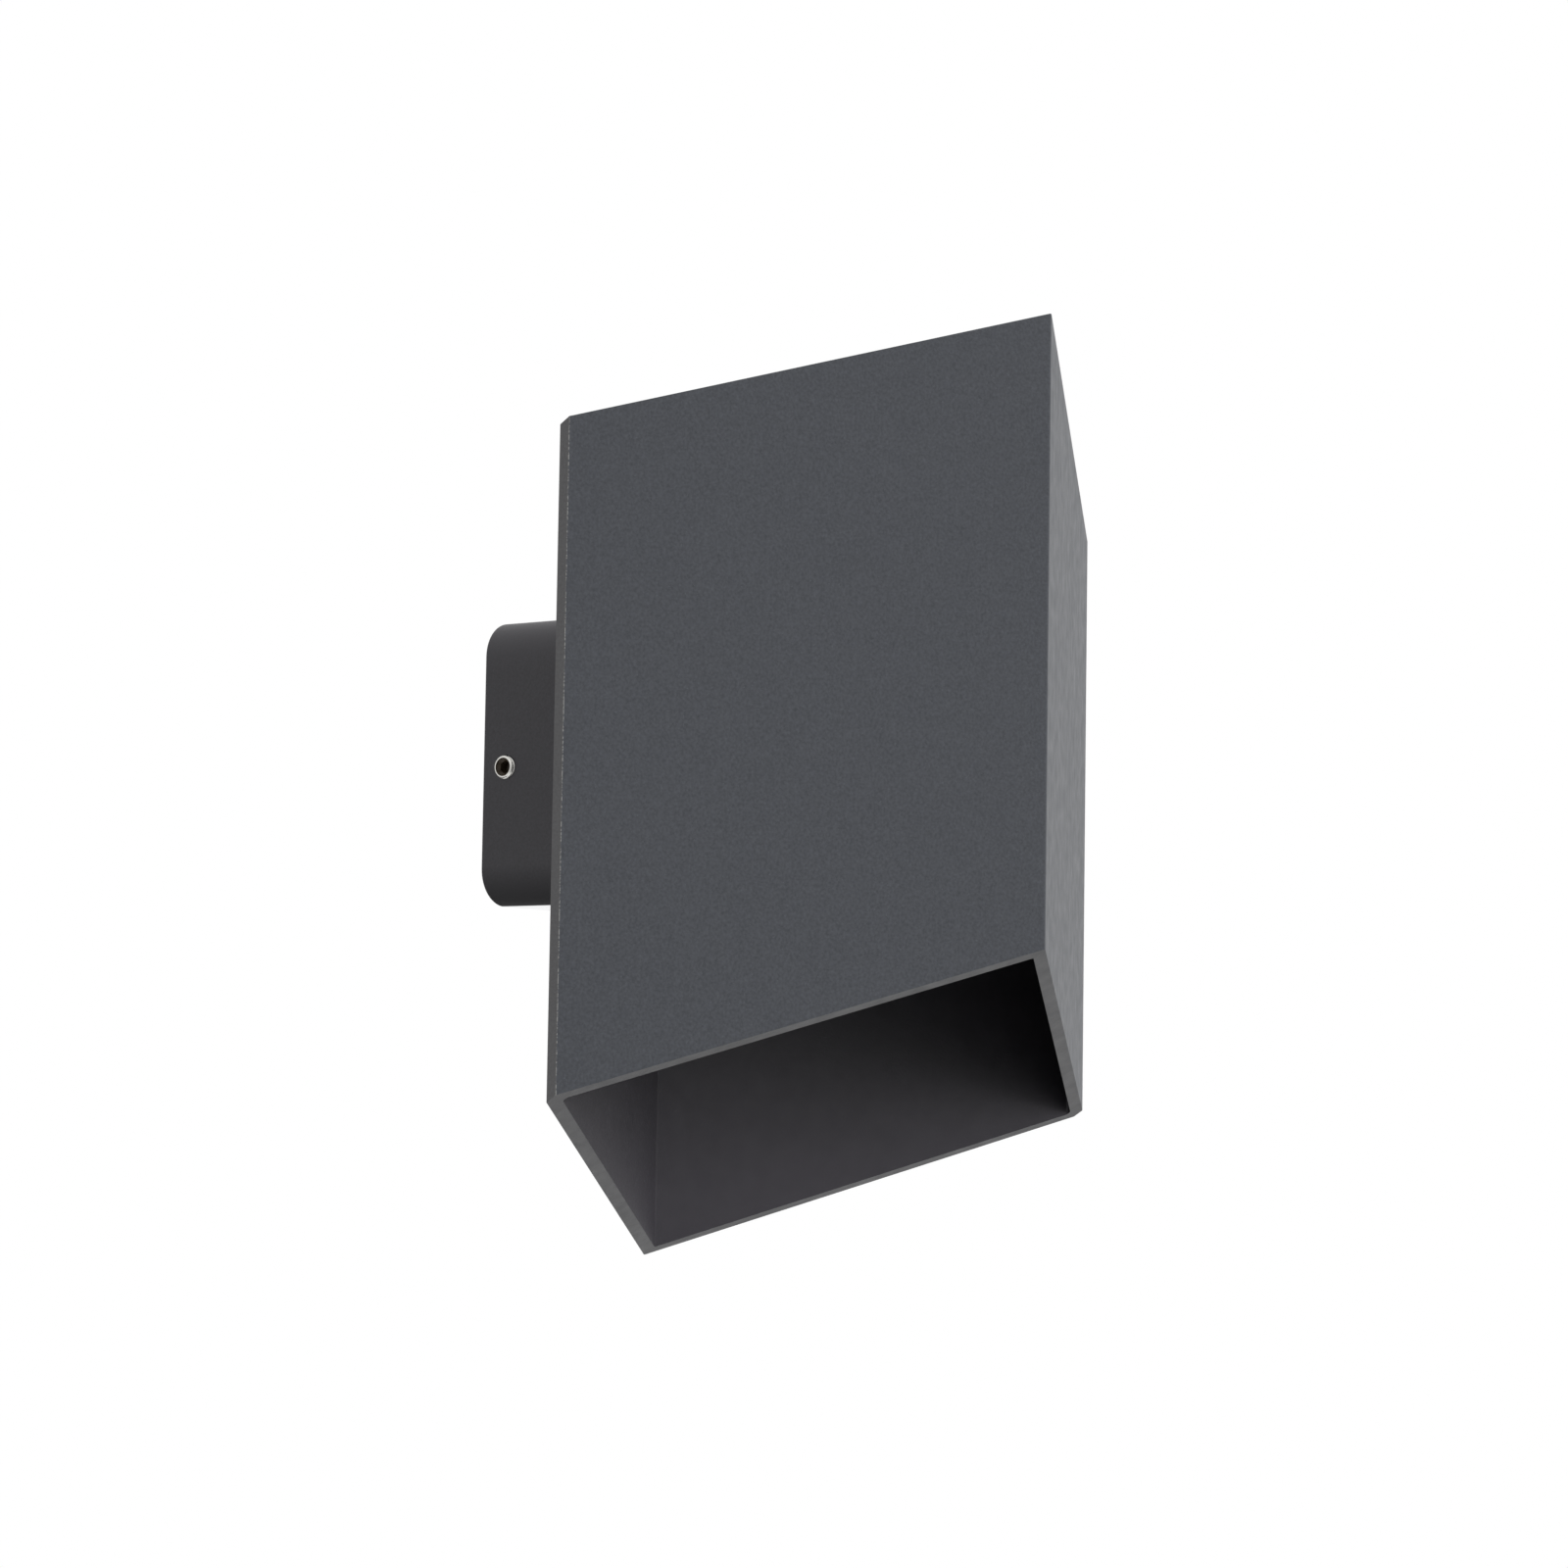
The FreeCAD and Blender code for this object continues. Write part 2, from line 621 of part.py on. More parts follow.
def lead_bush():
    """The soft bush that takes the lamp's leads through cover, tube and carrier wall."""
    body = new_body("lead_bush")
    barrel = "(bush_size / 2 - running_gap)"
    foot = "-(cover_wall + wall + carrier_gap + rim_wall + ledge_width)"
    revolve(body, "profile", [
        ("bush_bore_size / 2", foot), (barrel, foot), (barrel, "0"), ("bush_flange_size / 2", "0"),
        ("bush_flange_size / 2", "bush_edge_thick"), ("bush_crown_size / 2", "bush_flange_thick"),
        ("bush_bore_size / 2", "bush_flange_thick")])
    put_on_wing(body, -1, "-bush_reach", "lamp_z + tie_spread")
    return keep(body)


# ---- light engine inside the tube ----

def lamp_carrier():
    """The casting across the middle of the tube: a web with a recess and a stepped window
    seat on each side, held by the tie screws."""
    body = new_body("lamp_carrier")
    section = sketch_on(body, "XY_Plane", "section")
    add_outline(section, diamond("wall + carrier_gap", "carrier_reach"))
    pad(body, section, "carrier_height", symmetric=True)
    for sign, name, forward in (("", "upper", False), ("-", "lower", True)):
        seat = sketch_on(body, "XY_Plane", f"{name}_seat", f"{sign}half_carrier")
        add_outline(seat, diamond("seat_inset", "window_reach"))
        pocket(body, seat, "half_carrier - ledge_z", forward)
        recess = sketch_on(body, "XY_Plane", f"{name}_recess", f"{sign}half_carrier")
        add_outline(recess, diamond("recess_inset", "window_reach - ledge_width"))
        pocket(body, recess, "half_carrier - web_thick / 2", forward)
        taps = sketch_on(body, "XY_Plane", f"{name}_taps", f"{sign}half_carrier")
        for side in ("", "-"):
            add_circle(taps, f"{side}frame_screw_reach", "0", "tie_size")
        pocket(body, taps, "frame_screw_length", forward)
    web = sketch_on(body, "XY_Plane", "web_holes")
    add_circle(web, "-web_hole_reach", "0", "web_hole_size")
    for side in ("", "-"):
        add_circle(web, f"{side}board_screw_reach", "0", "tie_size")
    pocket(body, web, "2 * web_thick", symmetric=True)
    for side, name in ((1, "right"), (-1, "left")):
        deep = "recess_inset + web_thick"
        holes = sketch_on_wing(body, f"{name}_holes", side, "half_depth", deep)
        add_tie_holes(holes, side, "tie_size", "0")
        if side < 0:
            add_circle(holes, "-bush_reach", "tie_spread", "bush_size")
        pocket(body, holes, deep)
    place_in_lamp(body)
    return keep(body)


def led_board(level, upper):
    """A round metal-core board on the carrier's web."""
    body = new_body(f"led_board_{level}")
    outline = sketch_on(body, "XY_Plane", "outline", "board_z")
    add_circle(outline, "0", "0", "board_size")
    for side in ("", "-"):
        add_circle(outline, f"{side}board_screw_reach", "0", "tie_size + 2 * clearance_gap")
    pad(body, outline, "board_thick")
    place_in_lamp(body, upper)
    return keep(body)


def led_chip(level, upper):
    """The light-emitting disc with its raised rim."""
    body = new_body(f"led_chip_{level}")
    rim, dome = "chip_size / 2", "(chip_size / 2 - chip_rim)"
    revolve(body, "profile", [
        ("0", "chip_z"), (rim, "chip_z"), (rim, "chip_z + chip_thick"), (dome, "chip_z + chip_thick"),
        (dome, "chip_z + chip_thick - chip_sunk"), ("0", "chip_z + chip_thick - chip_sunk")])
    place_in_lamp(body, upper)
    return keep(body)


def board_screws(level, upper):
    """Two screws that clamp the board to the web."""
    screws = []
    for side in ("", "-"):
        screw = pan_screw(f"board_screw_{level}_{len(screws) + 1}", "tie_size - 2 * running_gap",
                          "board_thick + web_thick / 2 - running_gap", "tie_head", "tie_socket")
        turn = UPRIGHT if upper else UPSIDE_DOWN
        sign = "+" if upper else "-"
        place(screw, f"{side}board_screw_reach", "lamp_y", f"lamp_z {sign} chip_z", turn)
        screws.append(screw)
    return group(f"board_screws_{level}", screws)


def reflector(level, upper):
    """A conical bowl round the chip, with a flange that hides the carrier's recess."""
    body = new_body(f"reflector_{level}")
    top = "(ledge_z - running_gap)"
    flange = sketch_on(body, "XY_Plane", "flange", top)
    inset = "recess_inset + glass_gap"
    add_outline(flange, diamond(inset, "window_reach - ledge_width - glass_gap"))
    add_circle(flange, "0", "0", "bowl_top + bowl_wall")
    plate = pad(body, flange, "sheet_thick")
    plate.Reversed = True
    doc.recompute()
    foot = "chip_z + running_gap"
    revolve(body, "bowl", [
        ("bowl_bottom_size / 2", foot), ("bowl_bottom_size / 2 + bowl_wall", foot),
        ("bowl_top / 2 + bowl_wall", f"{top} - sheet_thick"), ("bowl_top / 2 + bowl_wall", top),
        ("bowl_top / 2", top)])
    place_in_lamp(body, upper)
    return keep(body)


def glass_gasket(level, upper):
    """The soft ring between ledge and glass."""
    body = new_body(f"glass_gasket_{level}")
    ring = sketch_on(body, "XY_Plane", "ring", "ledge_z")
    inset, reach = "seat_inset + glass_gap", "window_reach - glass_gap"
    add_outline(ring, diamond(inset, reach))
    add_outline(ring, diamond(f"{inset} + gasket_width", f"{reach} - gasket_width"))
    pad(body, ring, "gasket_thick")
    place_in_lamp(body, upper)
    return keep(body)


def window_glass(level, upper):
    """The diamond-shaped pane that seals the recess."""
    body = new_body(f"window_glass_{level}")
    outline = sketch_on(body, "XY_Plane", "outline", "glass_base")
    add_outline(outline, diamond("seat_inset + glass_gap", "window_reach - glass_gap"))
    pad(body, outline, "glass_thick")
    place_in_lamp(body, upper)
    return keep(body)


def glass_frame(level, upper):
    """The flat frame that holds the pane down, with a countersunk hole at each end."""
    body = new_body(f"glass_frame_{level}")
    ring = sketch_on(body, "XY_Plane", "ring", "half_carrier")
    add_outline(ring, diamond("wall + loose_gap", "frame_reach"))
    add_outline(ring, diamond("seat_inset + gasket_width", "window_reach - gasket_width"))
    pad(body, ring, "frame_thick")
    seats = sketch_on(body, "XY_Plane", "seats", "half_carrier + frame_thick")
    for side in ("", "-"):
        add_circle(seats, f"{side}frame_screw_reach", "0", "tie_size + 2 * clearance_gap")
    doc.recompute()
    hole = body.newObject("PartDesign::Hole", f"{body.Label}_countersinks")
    hole.Profile = seats
    hole.DepthType = "ThroughAll"
    hole.setExpression("Diameter", size("tie_size + 2 * clearance_gap"))
    hole.HoleCutType = "Countersink"
    hole.setExpression("HoleCutDiameter", size("2 * tie_size"))
    hole.HoleCutCountersinkAngle = 90
    doc.recompute()
    place_in_lamp(body, upper)
    return keep(body)


def frame_screws(level, upper):
    """Two countersunk screws, flush with the window frame."""
    screws = []
    for side in ("", "-"):
        screw = countersunk_screw(f"frame_screw_{level}_{len(screws) + 1}", "tie_size - 2 * running_gap",
                                  "frame_screw_length", "tie_socket")
        sign, turn = ("+", UPRIGHT) if upper else ("-", UPSIDE_DOWN)
        place(screw, f"{side}frame_screw_reach", "lamp_y",
              f"lamp_z {sign} (half_carrier + frame_thick)", turn)
        screws.append(screw)
    return group(f"frame_screws_{level}", screws)


def driver():
    """The potted driver beside the upper board."""
    body = new_body("led_driver")
    base = sketch_on(body, "XY_Plane", "base", "board_z")
    add_box_outline(base, "driver_start + driver_length / 2", "0", "driver_length", "driver_width")
    pad(body, base, "driver_height")
    round_edges(body, lambda point: True, "driver_round")
    place_in_lamp(body)
    return keep(body)


# ---- wall side ----

def wall_bracket():
    """The folded steel bracket: a slotted plate with two ears that the grub screws press on."""
    body = new_body("wall_bracket")
    half, edge = "bracket_height / 2", "(ear_face - plate_inset)"
    ear = "ear_height / 2"
    plate = sketch_on(body, "XZ_Plane", "plate")
    add_outline(plate, [
        ("ear_face", f"-{ear}"), ("ear_face", ear), (edge, ear), (edge, half),
        (f"-{edge}", half), (f"-{edge}", ear), ("-ear_face", ear), ("-ear_face", f"-{ear}"),
        (f"-{edge}", f"-{ear}"), (f"-{edge}", f"-{half}"), (edge, f"-{half}"), (edge, f"-{ear}")])
    pad(body, plate, "plate_thick")
    ears = sketch_on(body, "XZ_Plane", "ears")
    for side in ("", "-"):
        add_box_outline(ears, f"{side}(ear_face - plate_thick / 2)", "0", "plate_thick", "ear_height")
    pad(body, ears, "ear_depth")
    outer, inner = number("ear_face"), number("ear_face - plate_thick")
    bend = number("plate_thick")
    round_edges(body, lambda point: abs(abs(point.x) - outer) < 1e-3 and abs(point.y) < 1e-3,
                "bend_radius + bend_share * plate_thick")
    round_edges(body, lambda point: abs(abs(point.x) - inner) < 1e-3 and abs(point.y + bend) < 1e-3,
                "bend_radius")
    cuts = sketch_on(body, "XZ_Plane", "cuts")
    for level in ("", "-"):
        add_slot(cuts, "0", f"{level}slot_pitch / 2", "slot_width", "slot_length")
    add_circle(cuts, "-entry_offset", "entry_up", "entry_hole_size")
    add_circle(cuts, "-earth_across", "earth_up", "earth_size")
    add_circle(cuts, "block_across", "0", "peg_size + 2 * running_gap")
    pocket(body, cuts, f"plate_thick + {OVERCUT}", forward=True)
    return keep(body)


def wall_seal():
    """The flat seal round the bracket, inside the rim of the mount box."""
    body = new_body("wall_seal")
    ring = sketch_on(body, "XZ_Plane", "ring")
    width, height = "cavity_width - 2 * loose_gap", "cavity_height - 2 * loose_gap"
    add_round_box(ring, width, height, "cavity_corner - loose_gap")
    add_round_box(ring, f"{width} - 2 * seal_width", f"{height} - 2 * seal_width", "seal_corner")
    pad(body, ring, "seal_thick")
    return keep(body)


def cable_grommet():
    """The stepped grommet in the bracket's cable hole."""
    body = new_body("cable_grommet")
    flange = "entry_flange_thick"
    nose = f"({flange} + entry_nose_reach)"
    revolve(body, "profile", [
        ("entry_bore_size / 2", "-plate_thick"), ("entry_hole_size / 2 - running_gap", "-plate_thick"),
        ("entry_hole_size / 2 - running_gap", "0"), ("entry_flange_size / 2", "0"),
        ("entry_flange_size / 2", flange), ("entry_nose_size / 2 + entry_lead_in", flange),
        ("entry_nose_size / 2", f"{flange} + entry_lead_in"), ("entry_bore_size / 2 + entry_lead_in", nose),
        ("entry_bore_size / 2", nose)])
    place(body, "-entry_offset", "-plate_thick", "entry_up", FACING_ROOM)
    return keep(body)


def earth_terminal():
    """The earth screw and the square washer under its head."""
    washer = new_body("earth_washer")
    outline = sketch_on(washer, "XY_Plane", "outline")
    add_box_outline(outline, "0", "0", "washer_width", "washer_width")
    add_circle(outline, "0", "0", "earth_size + 2 * clearance_gap")
    pad(washer, outline, "washer_thick")
    place(washer, "-earth_across", "-plate_thick", "earth_up", FACING_ROOM)
    keep(washer)
    screw = pan_screw("earth_screw", "earth_size - 2 * running_gap",
                      "washer_thick + plate_thick - running_gap", "earth_head", "earth_socket")
    place(screw, "-earth_across", "-plate_thick - washer_thick", "earth_up", FACING_ROOM)
    keep(screw)


def terminal_block():
    """A three-pole block whose foot snaps into the bracket. Made lying on z = 0: x along the
    wires, y across the poles."""
    body = new_body("terminal_block")
    deep = "block_deep"
    outline = sketch_on(body, "XY_Plane", "outline")
    add_box_outline(outline, "0", "0", "block_length", "3 * pole_pitch")
    pad(body, outline, deep)
    peg = sketch_on(body, "XY_Plane", "peg")
    add_circle(peg, "0", "0", "peg_size")
    foot = pad(body, peg, "plate_thick - running_gap")
    foot.Reversed = True
    doc.recompute()
    gaps = sketch_on(body, "XY_Plane", "gaps", deep)
    for level in ("", "-"):
        add_box_outline(gaps, "0", f"{level}pole_pitch / 2", f"block_length + 2 * {OVERCUT}", "pole_groove")
    pocket(body, gaps, "groove_deep")
    wells = sketch_on(body, "XY_Plane", "wells", deep)
    for x, y in terminal_places():
        add_circle(wells, x, y, "well_size")
    pocket(body, wells, f"{deep} - clamp_up - clamp_size / 2 + well_sunk")
    bores = sketch_on(body, "YZ_Plane", "bores")
    for level in (-1, 0, 1):
        add_circle(bores, f"{level} * pole_pitch", "clamp_up", "clamp_size + 2 * running_gap")
    pocket(body, bores, symmetric=True)
    put_on_bracket(body)
    return keep(body)


def terminal_places():
    """Centres of the six clamping screws on the block."""
    return [(f"{side} * well_offset", f"{level} * pole_pitch") for level in (-1, 0, 1) for side in (-1, 1)]


def put_on_bracket(item, x="0", y="0", z="0"):
    """Places an object of the terminal block on the bracket plate."""
    place(item, f"block_across + {x}", f"-plate_thick - ({z})", y, FACING_ROOM)


def terminal_clamps():
    """Three brass sleeves that join the wires."""
    clamps = []
    for level in (-1, 0, 1):
        body = new_body(f"terminal_clamp_{level + 2}")
        section = sketch_on(body, "YZ_Plane", "section")
        add_circle(section, "0", "0", "clamp_size")
        add_circle(section, "0", "0", "clamp_bore_size")
        pad(body, section, "clamp_length", symmetric=True)
        taps = sketch_on(body, "XY_Plane", "taps")
        for side in ("", "-"):
            add_circle(taps, f"{side}well_offset", "0", "clamp_screw_size + 2 * running_gap")
        pocket(body, taps, "clamp_size", forward=True)
        put_on_bracket(body, "0", f"{level} * pole_pitch", "clamp_up")
        clamps.append(body)
    return group("terminal_clamps", clamps)


def terminal_screws():
    """Six clamping screws in the wells of the block."""
    screws = []
    for x, y in terminal_places():
        screw = pan_screw(f"terminal_screw_{len(screws) + 1}", "clamp_screw_size", "clamp_screw_length",
                          "well_size - loose_gap", "clamp_screw_socket")
        put_on_bracket(screw, x, y, "clamp_up + clamp_size / 2")
        screws.append(screw)
    return group("terminal_screws", screws)


# ---- assembly ----

def build():
    """Builds every piece of the light."""
    diamond_tube()
    mount_cover()
    tie_screws()
    lead_bush()
    grub_screw("grub_screw_left", -1)
    grub_screw("grub_screw_right", 1)
    lamp_carrier()
    for level, upper in (("upper", True), ("lower", False)):
        led_board(level, upper)
        led_chip(level, upper)
        board_screws(level, upper)
        reflector(level, upper)
        glass_gasket(level, upper)
        window_glass(level, upper)
        glass_frame(level, upper)
        frame_screws(level, upper)
    driver()
    wall_bracket()
    wall_seal()
    cable_grommet()
    earth_terminal()
    terminal_block()
    terminal_clamps()
    terminal_screws()


def check():
    """Stops if any object failed to build or any piece is not a sound solid."""
    doc.recompute()
    for item in doc.Objects:
        if "Invalid" in item.State or "Error" in item.State:
            raise RuntimeError(f"{item.Label} failed: {item.State}")
    for node in nodes:
        if node.Shape.isNull() or not node.Shape.isValid() or not node.Shape.Solids:
            raise RuntimeError(f"{node.Label} is not a valid solid")


def export():
    """Writes one STEP file for each piece."""
    os.makedirs("parts", exist_ok=True)
    for node in nodes:
        node.Shape.exportStep(f"parts/{node.Label}.step")
        box = node.Shape.BoundBox
        print(f"{node.Label:22s} {len(node.Shape.Solids)} solid {node.Shape.Volume:10.1f} mm3 "
              f"x {box.XMin:7.2f} {box.XMax:7.2f} y {box.YMin:7.2f} {box.YMax:7.2f} "
              f"z {box.ZMin:7.2f} {box.ZMax:7.2f}")


fill_sheet()
build()
check()
export()
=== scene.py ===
"""Looks of an up and down wall light: a dark diamond-section tube on a small mount box.

The fixed frame gives every piece its place. The operators below dress the pieces in their finishes,
cut the threads of the screws, and set the pale stage with its camera and soft lamp.
"""

from collections import namedtuple
from math import cos, pi, radians, sin

import bmesh
import bpy
from mathutils import Matrix, Vector


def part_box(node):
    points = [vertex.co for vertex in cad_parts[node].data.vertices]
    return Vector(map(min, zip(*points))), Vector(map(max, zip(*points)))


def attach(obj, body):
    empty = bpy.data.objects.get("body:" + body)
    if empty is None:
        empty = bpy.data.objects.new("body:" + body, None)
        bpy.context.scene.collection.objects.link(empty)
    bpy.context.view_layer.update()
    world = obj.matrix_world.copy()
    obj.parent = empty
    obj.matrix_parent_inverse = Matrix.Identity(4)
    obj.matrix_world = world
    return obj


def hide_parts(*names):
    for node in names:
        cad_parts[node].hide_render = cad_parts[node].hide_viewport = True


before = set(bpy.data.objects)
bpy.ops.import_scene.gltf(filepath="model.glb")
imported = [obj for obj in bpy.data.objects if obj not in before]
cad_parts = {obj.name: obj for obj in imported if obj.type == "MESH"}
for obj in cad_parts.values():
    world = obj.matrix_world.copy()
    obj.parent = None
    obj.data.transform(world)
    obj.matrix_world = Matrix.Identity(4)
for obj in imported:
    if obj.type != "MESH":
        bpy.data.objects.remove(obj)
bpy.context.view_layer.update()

bl_info = {
    "name": "Up and down wall light",
    "version": (1, 0, 0),
    "blender": (4, 5, 0),
    "location": "View3D > Sidebar > Wall light",
    "description": "Finishes, screws and stage for a diamond-section wall light",
    "category": "Object",
}

MM = 0.001
LEVELS = {"upper": 1, "lower": -1}      # direction of each light engine along z
SIDES = {"left": -1, "right": 1}        # direction of each side along x

SAME_PLACE = 0.0005 * MM    # vertices nearer to each other than this are one
ON_PLANE = 0.01 * MM        # a vertex within this of a plane lies on it
PLACE_DIGITS = 5            # of a place in metres, when the parts of a mesh are put in order
FACES_DOWN = -0.995         # a face whose normal's z is below this is a flat underside
FACES_UP_OR_DOWN = 0.5      # a face of the tube whose normal's z is beyond this is a cut end

GLASS_INDEX = 1.5           # refractive index of the windows

# powder coat
COAT_INDEX = 1.35           # refractive index
BROAD_GRAIN = 3.0           # size of the broad mottling, of the fine grain
SPECK_GRAIN = 0.8           # size of the specks, of the fine grain
SPECK_LEVEL = 0.8           # noise above this is a speck
FINE_CONTRAST, BROAD_CONTRAST = 1.7, 0.2
FINE_RISE, BROAD_RISE, SPECK_RISE = 0.8, 0.4, 0.4       # share of the relief
MOUNT_SHEEN, TUBE_SHEEN = 0.08, 0.07    # change of roughness over the mottling
CLOUD_SHEEN = 0.25          # change of roughness over the clouds
LINING_CLOUDS = 0.3         # change that clouds make in the painted shade inside the tube
RUB_GLINT_LEVEL = 0.52            # noise above this is a dot of the line of worn coat and painted glint
CORNER_SKIN = 0.03 * MM     # depth of coat that counts as the flat of a side corner
PAINTED_TOP_LIGHT, PAINTED_UNDER_SHADE = 1.5, 0.3       # shares of the mount box's colour: painted light near its top, painted shade round its underside
UNDER_ROUGH = 0.4           # roughness that the coat round the underside has more
FLAT_SMOOTH = 0.9           # share of its roughness that the flat underside lacks

# shape of a screw
RINGS_PER_PITCH = 8
FEWEST_RINGS = 4
SIDES_OF_SCREW = 24         # of a small screw
SIDES_OF_GRUB = 72
ARC_STEPS = 6               # of a rounded edge
TIP_SHARE = 0.3             # bevel at the tip, of the shank's radius
HEAD_SHARE = 1.2            # height of a pan head, of the shank's radius
CROWN_SHARE = 0.75          # flat top of a pan head, of its radius
EDGE_SHARE = 0.5            # rounded part of a pan head, of its height
SINK_SHARE = 0.7            # depth of a socket, of the height of the head
DRILL_SHARE = 0.2           # cone at the foot of a socket, of its width
MOUTH_REACH, MOUTH_DEPTH = 0.97, 0.4    # ring where a mouth's taper ends, of its radius and depth
GREASE_SHADE_MARGIN = 0.02 * MM   # the dark brown of grease and painted shade reaches this far past the mouth
THREAD_FADE = 0.6           # length over which a thread gets its depth, of its pitch
CREST_SLOPE = 1.25          # above 1, a thread has flat crests
SHANK_SHARE = 0.8           # what lies nearer the axis than this share of the shank gets no thread
SHANK_PART = 0.4            # share of a screw's height, from the tip, that is shank on every screw
TREE_SEED = 5               # of the screws' random turns

# stage
SENSOR_WIDTH = 36.0         # of the camera, in millimetres
FLOOR_SIDES = 96
FLOOR_ROUGH = 0.9

tube_low, tube_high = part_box("diamond_tube")
LAMP_CENTRE = (tube_low + tube_high) / 2


# ---- values a user would change ----

def length(name, description, default):
    return bpy.props.FloatProperty(
        name=name, description=description, default=default, subtype="DISTANCE", unit="LENGTH", precision=5)


def angle(name, description, default):
    return bpy.props.FloatProperty(
        name=name, description=description, default=radians(default), subtype="ANGLE", unit="ROTATION")


def factor(name, description, default):
    return bpy.props.FloatProperty(
        name=name, description=description, default=default, min=0.0, max=1.0, subtype="FACTOR")


def colour(name, description, default):
    return bpy.props.FloatVectorProperty(
        name=name, description=description, default=default, size=3, min=0.0, max=1.0, subtype="COLOR")


class WallLightFinishes(bpy.types.PropertyGroup):
    """Colours and textures of the finishes."""

    coat: colour("Powder coat", "Main colour of the powder coat", (0.060, 0.064, 0.073))
    # painted shade inside the tube, over its browner coat; the next three values set where it is darkest, how
    # it gives way to painted light toward the ends, and its clouds
    lining_shade: colour("Coat inside", "Colour of the coat inside the tube, with its painted shade", (0.029, 0.027, 0.032))
    lining_deep: length("Darkest painted shade", "Height above and below the tube's middle with the darkest painted shade", 42 * MM)
    lining_fade: length("Coat inside fades", "Height over which that painted shade gives way to painted light", 24 * MM)
    lining_clouds: length("Coat inside clouds", "Size of the cloudy changes in that coat's colour", 9 * MM)
    cut_end: colour("Coat on the ends", "Colour of the coat on the slanted ends", (0.060, 0.060, 0.063))
    # a dotted line of worn coat and painted glint along the edges of the corner flats
    rubbed_glint: colour("Rubbed edge and glint", "Colour of the dotted line on the side corners' edges", (0.30, 0.30, 0.29))
    rub_glint_width: length("Rubbed and glint width", "Width of that line on each face", 0.09 * MM)
    rub_glint_dot: length("Rubbed and glint dots", "Length of the dots of that line", 0.3 * MM)
    corner_flat: colour(
        "Coat on the corner flats", "Colour of the coat on the side corners' flats", (0.146, 0.145, 0.149))
    mount: colour("Coat of the mount", "Colour of the coat on the mount box", (0.060, 0.058, 0.064))
    # painted shade round the mount box's underside, where the coat is also rougher
    underside: length("Underside", "Height of the rough coat and painted shade round the mount box's underside", 6.5 * MM)
    # painted light near the mount box's top
    top_light: length("Top light", "Height of the painted light near the mount box's top", 9 * MM)
    coat_grain: length("Coat grain", "Size of the fine texture in the powder coat", 0.45 * MM)
    coat_relief: length("Coat relief", "Height of the fine texture in the powder coat", 0.03 * MM)
    coat_gloss: factor("Coat roughness", "Roughness of the powder coat", 0.48)
    coat_clouds: length("Coat clouds", "Size of the cloudy changes in the coat's sheen", 3 * MM)
    under_gloss: factor("Underside roughness", "Roughness of the smooth coat on the flat underside", 0.06)
    casting: colour("Black casting", "Colour of the cast lamp carrier", (0.030, 0.030, 0.032))
    frame_black: colour("Black frame", "Colour of the frames that hold the glass", (0.034, 0.034, 0.036))
    stainless: colour("Stainless steel", "Colour of the grub screws and frame screws", (0.62, 0.61, 0.58))
    head_rings: length("Head rings", "Distance between the turned rings on the frame screws", 0.16 * MM)
    grub_rings: length("Grub rings", "Distance between the turned rings on the grub screws", 0.14 * MM)
    # old grease with painted shade in the grub screws' sockets
    grease: colour("Old grease", "Colour of the grease in the grub screws' sockets", (0.048, 0.034, 0.020))
    zinc: colour("Zinc plating", "Colour of the plated sheet and screws", (0.60, 0.61, 0.63))
    mirror: colour("Reflector", "Colour of the metallised bowls", (0.86, 0.86, 0.87))
    mask: colour("Board mask", "Colour of the light boards", (0.80, 0.80, 0.78))
    pads: colour("Board pads", "Colour of the tinned pads on the boards", (0.66, 0.62, 0.55))
    pad_place: factor("Pad place", "Place of the pads, of the board's half width", 0.62)
    pad_width: length("Pad width", "Width of each pad", 2.6 * MM)
    pad_height: length("Pad height", "Height of each pad", 3.2 * MM)
    laminate: colour("Board edge", "Colour of the laminate on the boards' edges", (0.35, 0.36, 0.37))
    laminate_width: length("Board edge width", "Width of the edge that shows laminate", 0.1 * MM)
    phosphor: colour("Phosphor", "Colour of the light source when it is off", (0.83, 0.62, 0.10))
    dam: colour("Dam", "Colour of the dam round the light source", (0.78, 0.78, 0.75))
    dam_width: length("Dam width", "Width of that dam", 1.0 * MM)
    driver: colour("Driver case", "Colour of the driver's moulded case", (0.022, 0.022, 0.023))
    nylon: colour("Terminal nylon", "Colour of the terminal block", (0.78, 0.77, 0.72))
    brass: colour("Brass", "Colour of the terminal clamps", (0.72, 0.53, 0.24))
    rubber: colour("Rubber", "Colour of the seal, grommet and bush", (0.018, 0.018, 0.019))
    silicone: colour("Silicone", "Colour of the gaskets under the glass", (0.50, 0.50, 0.48))
    glass: colour("Glass", "Colour of the windows", (0.93, 0.96, 0.95))


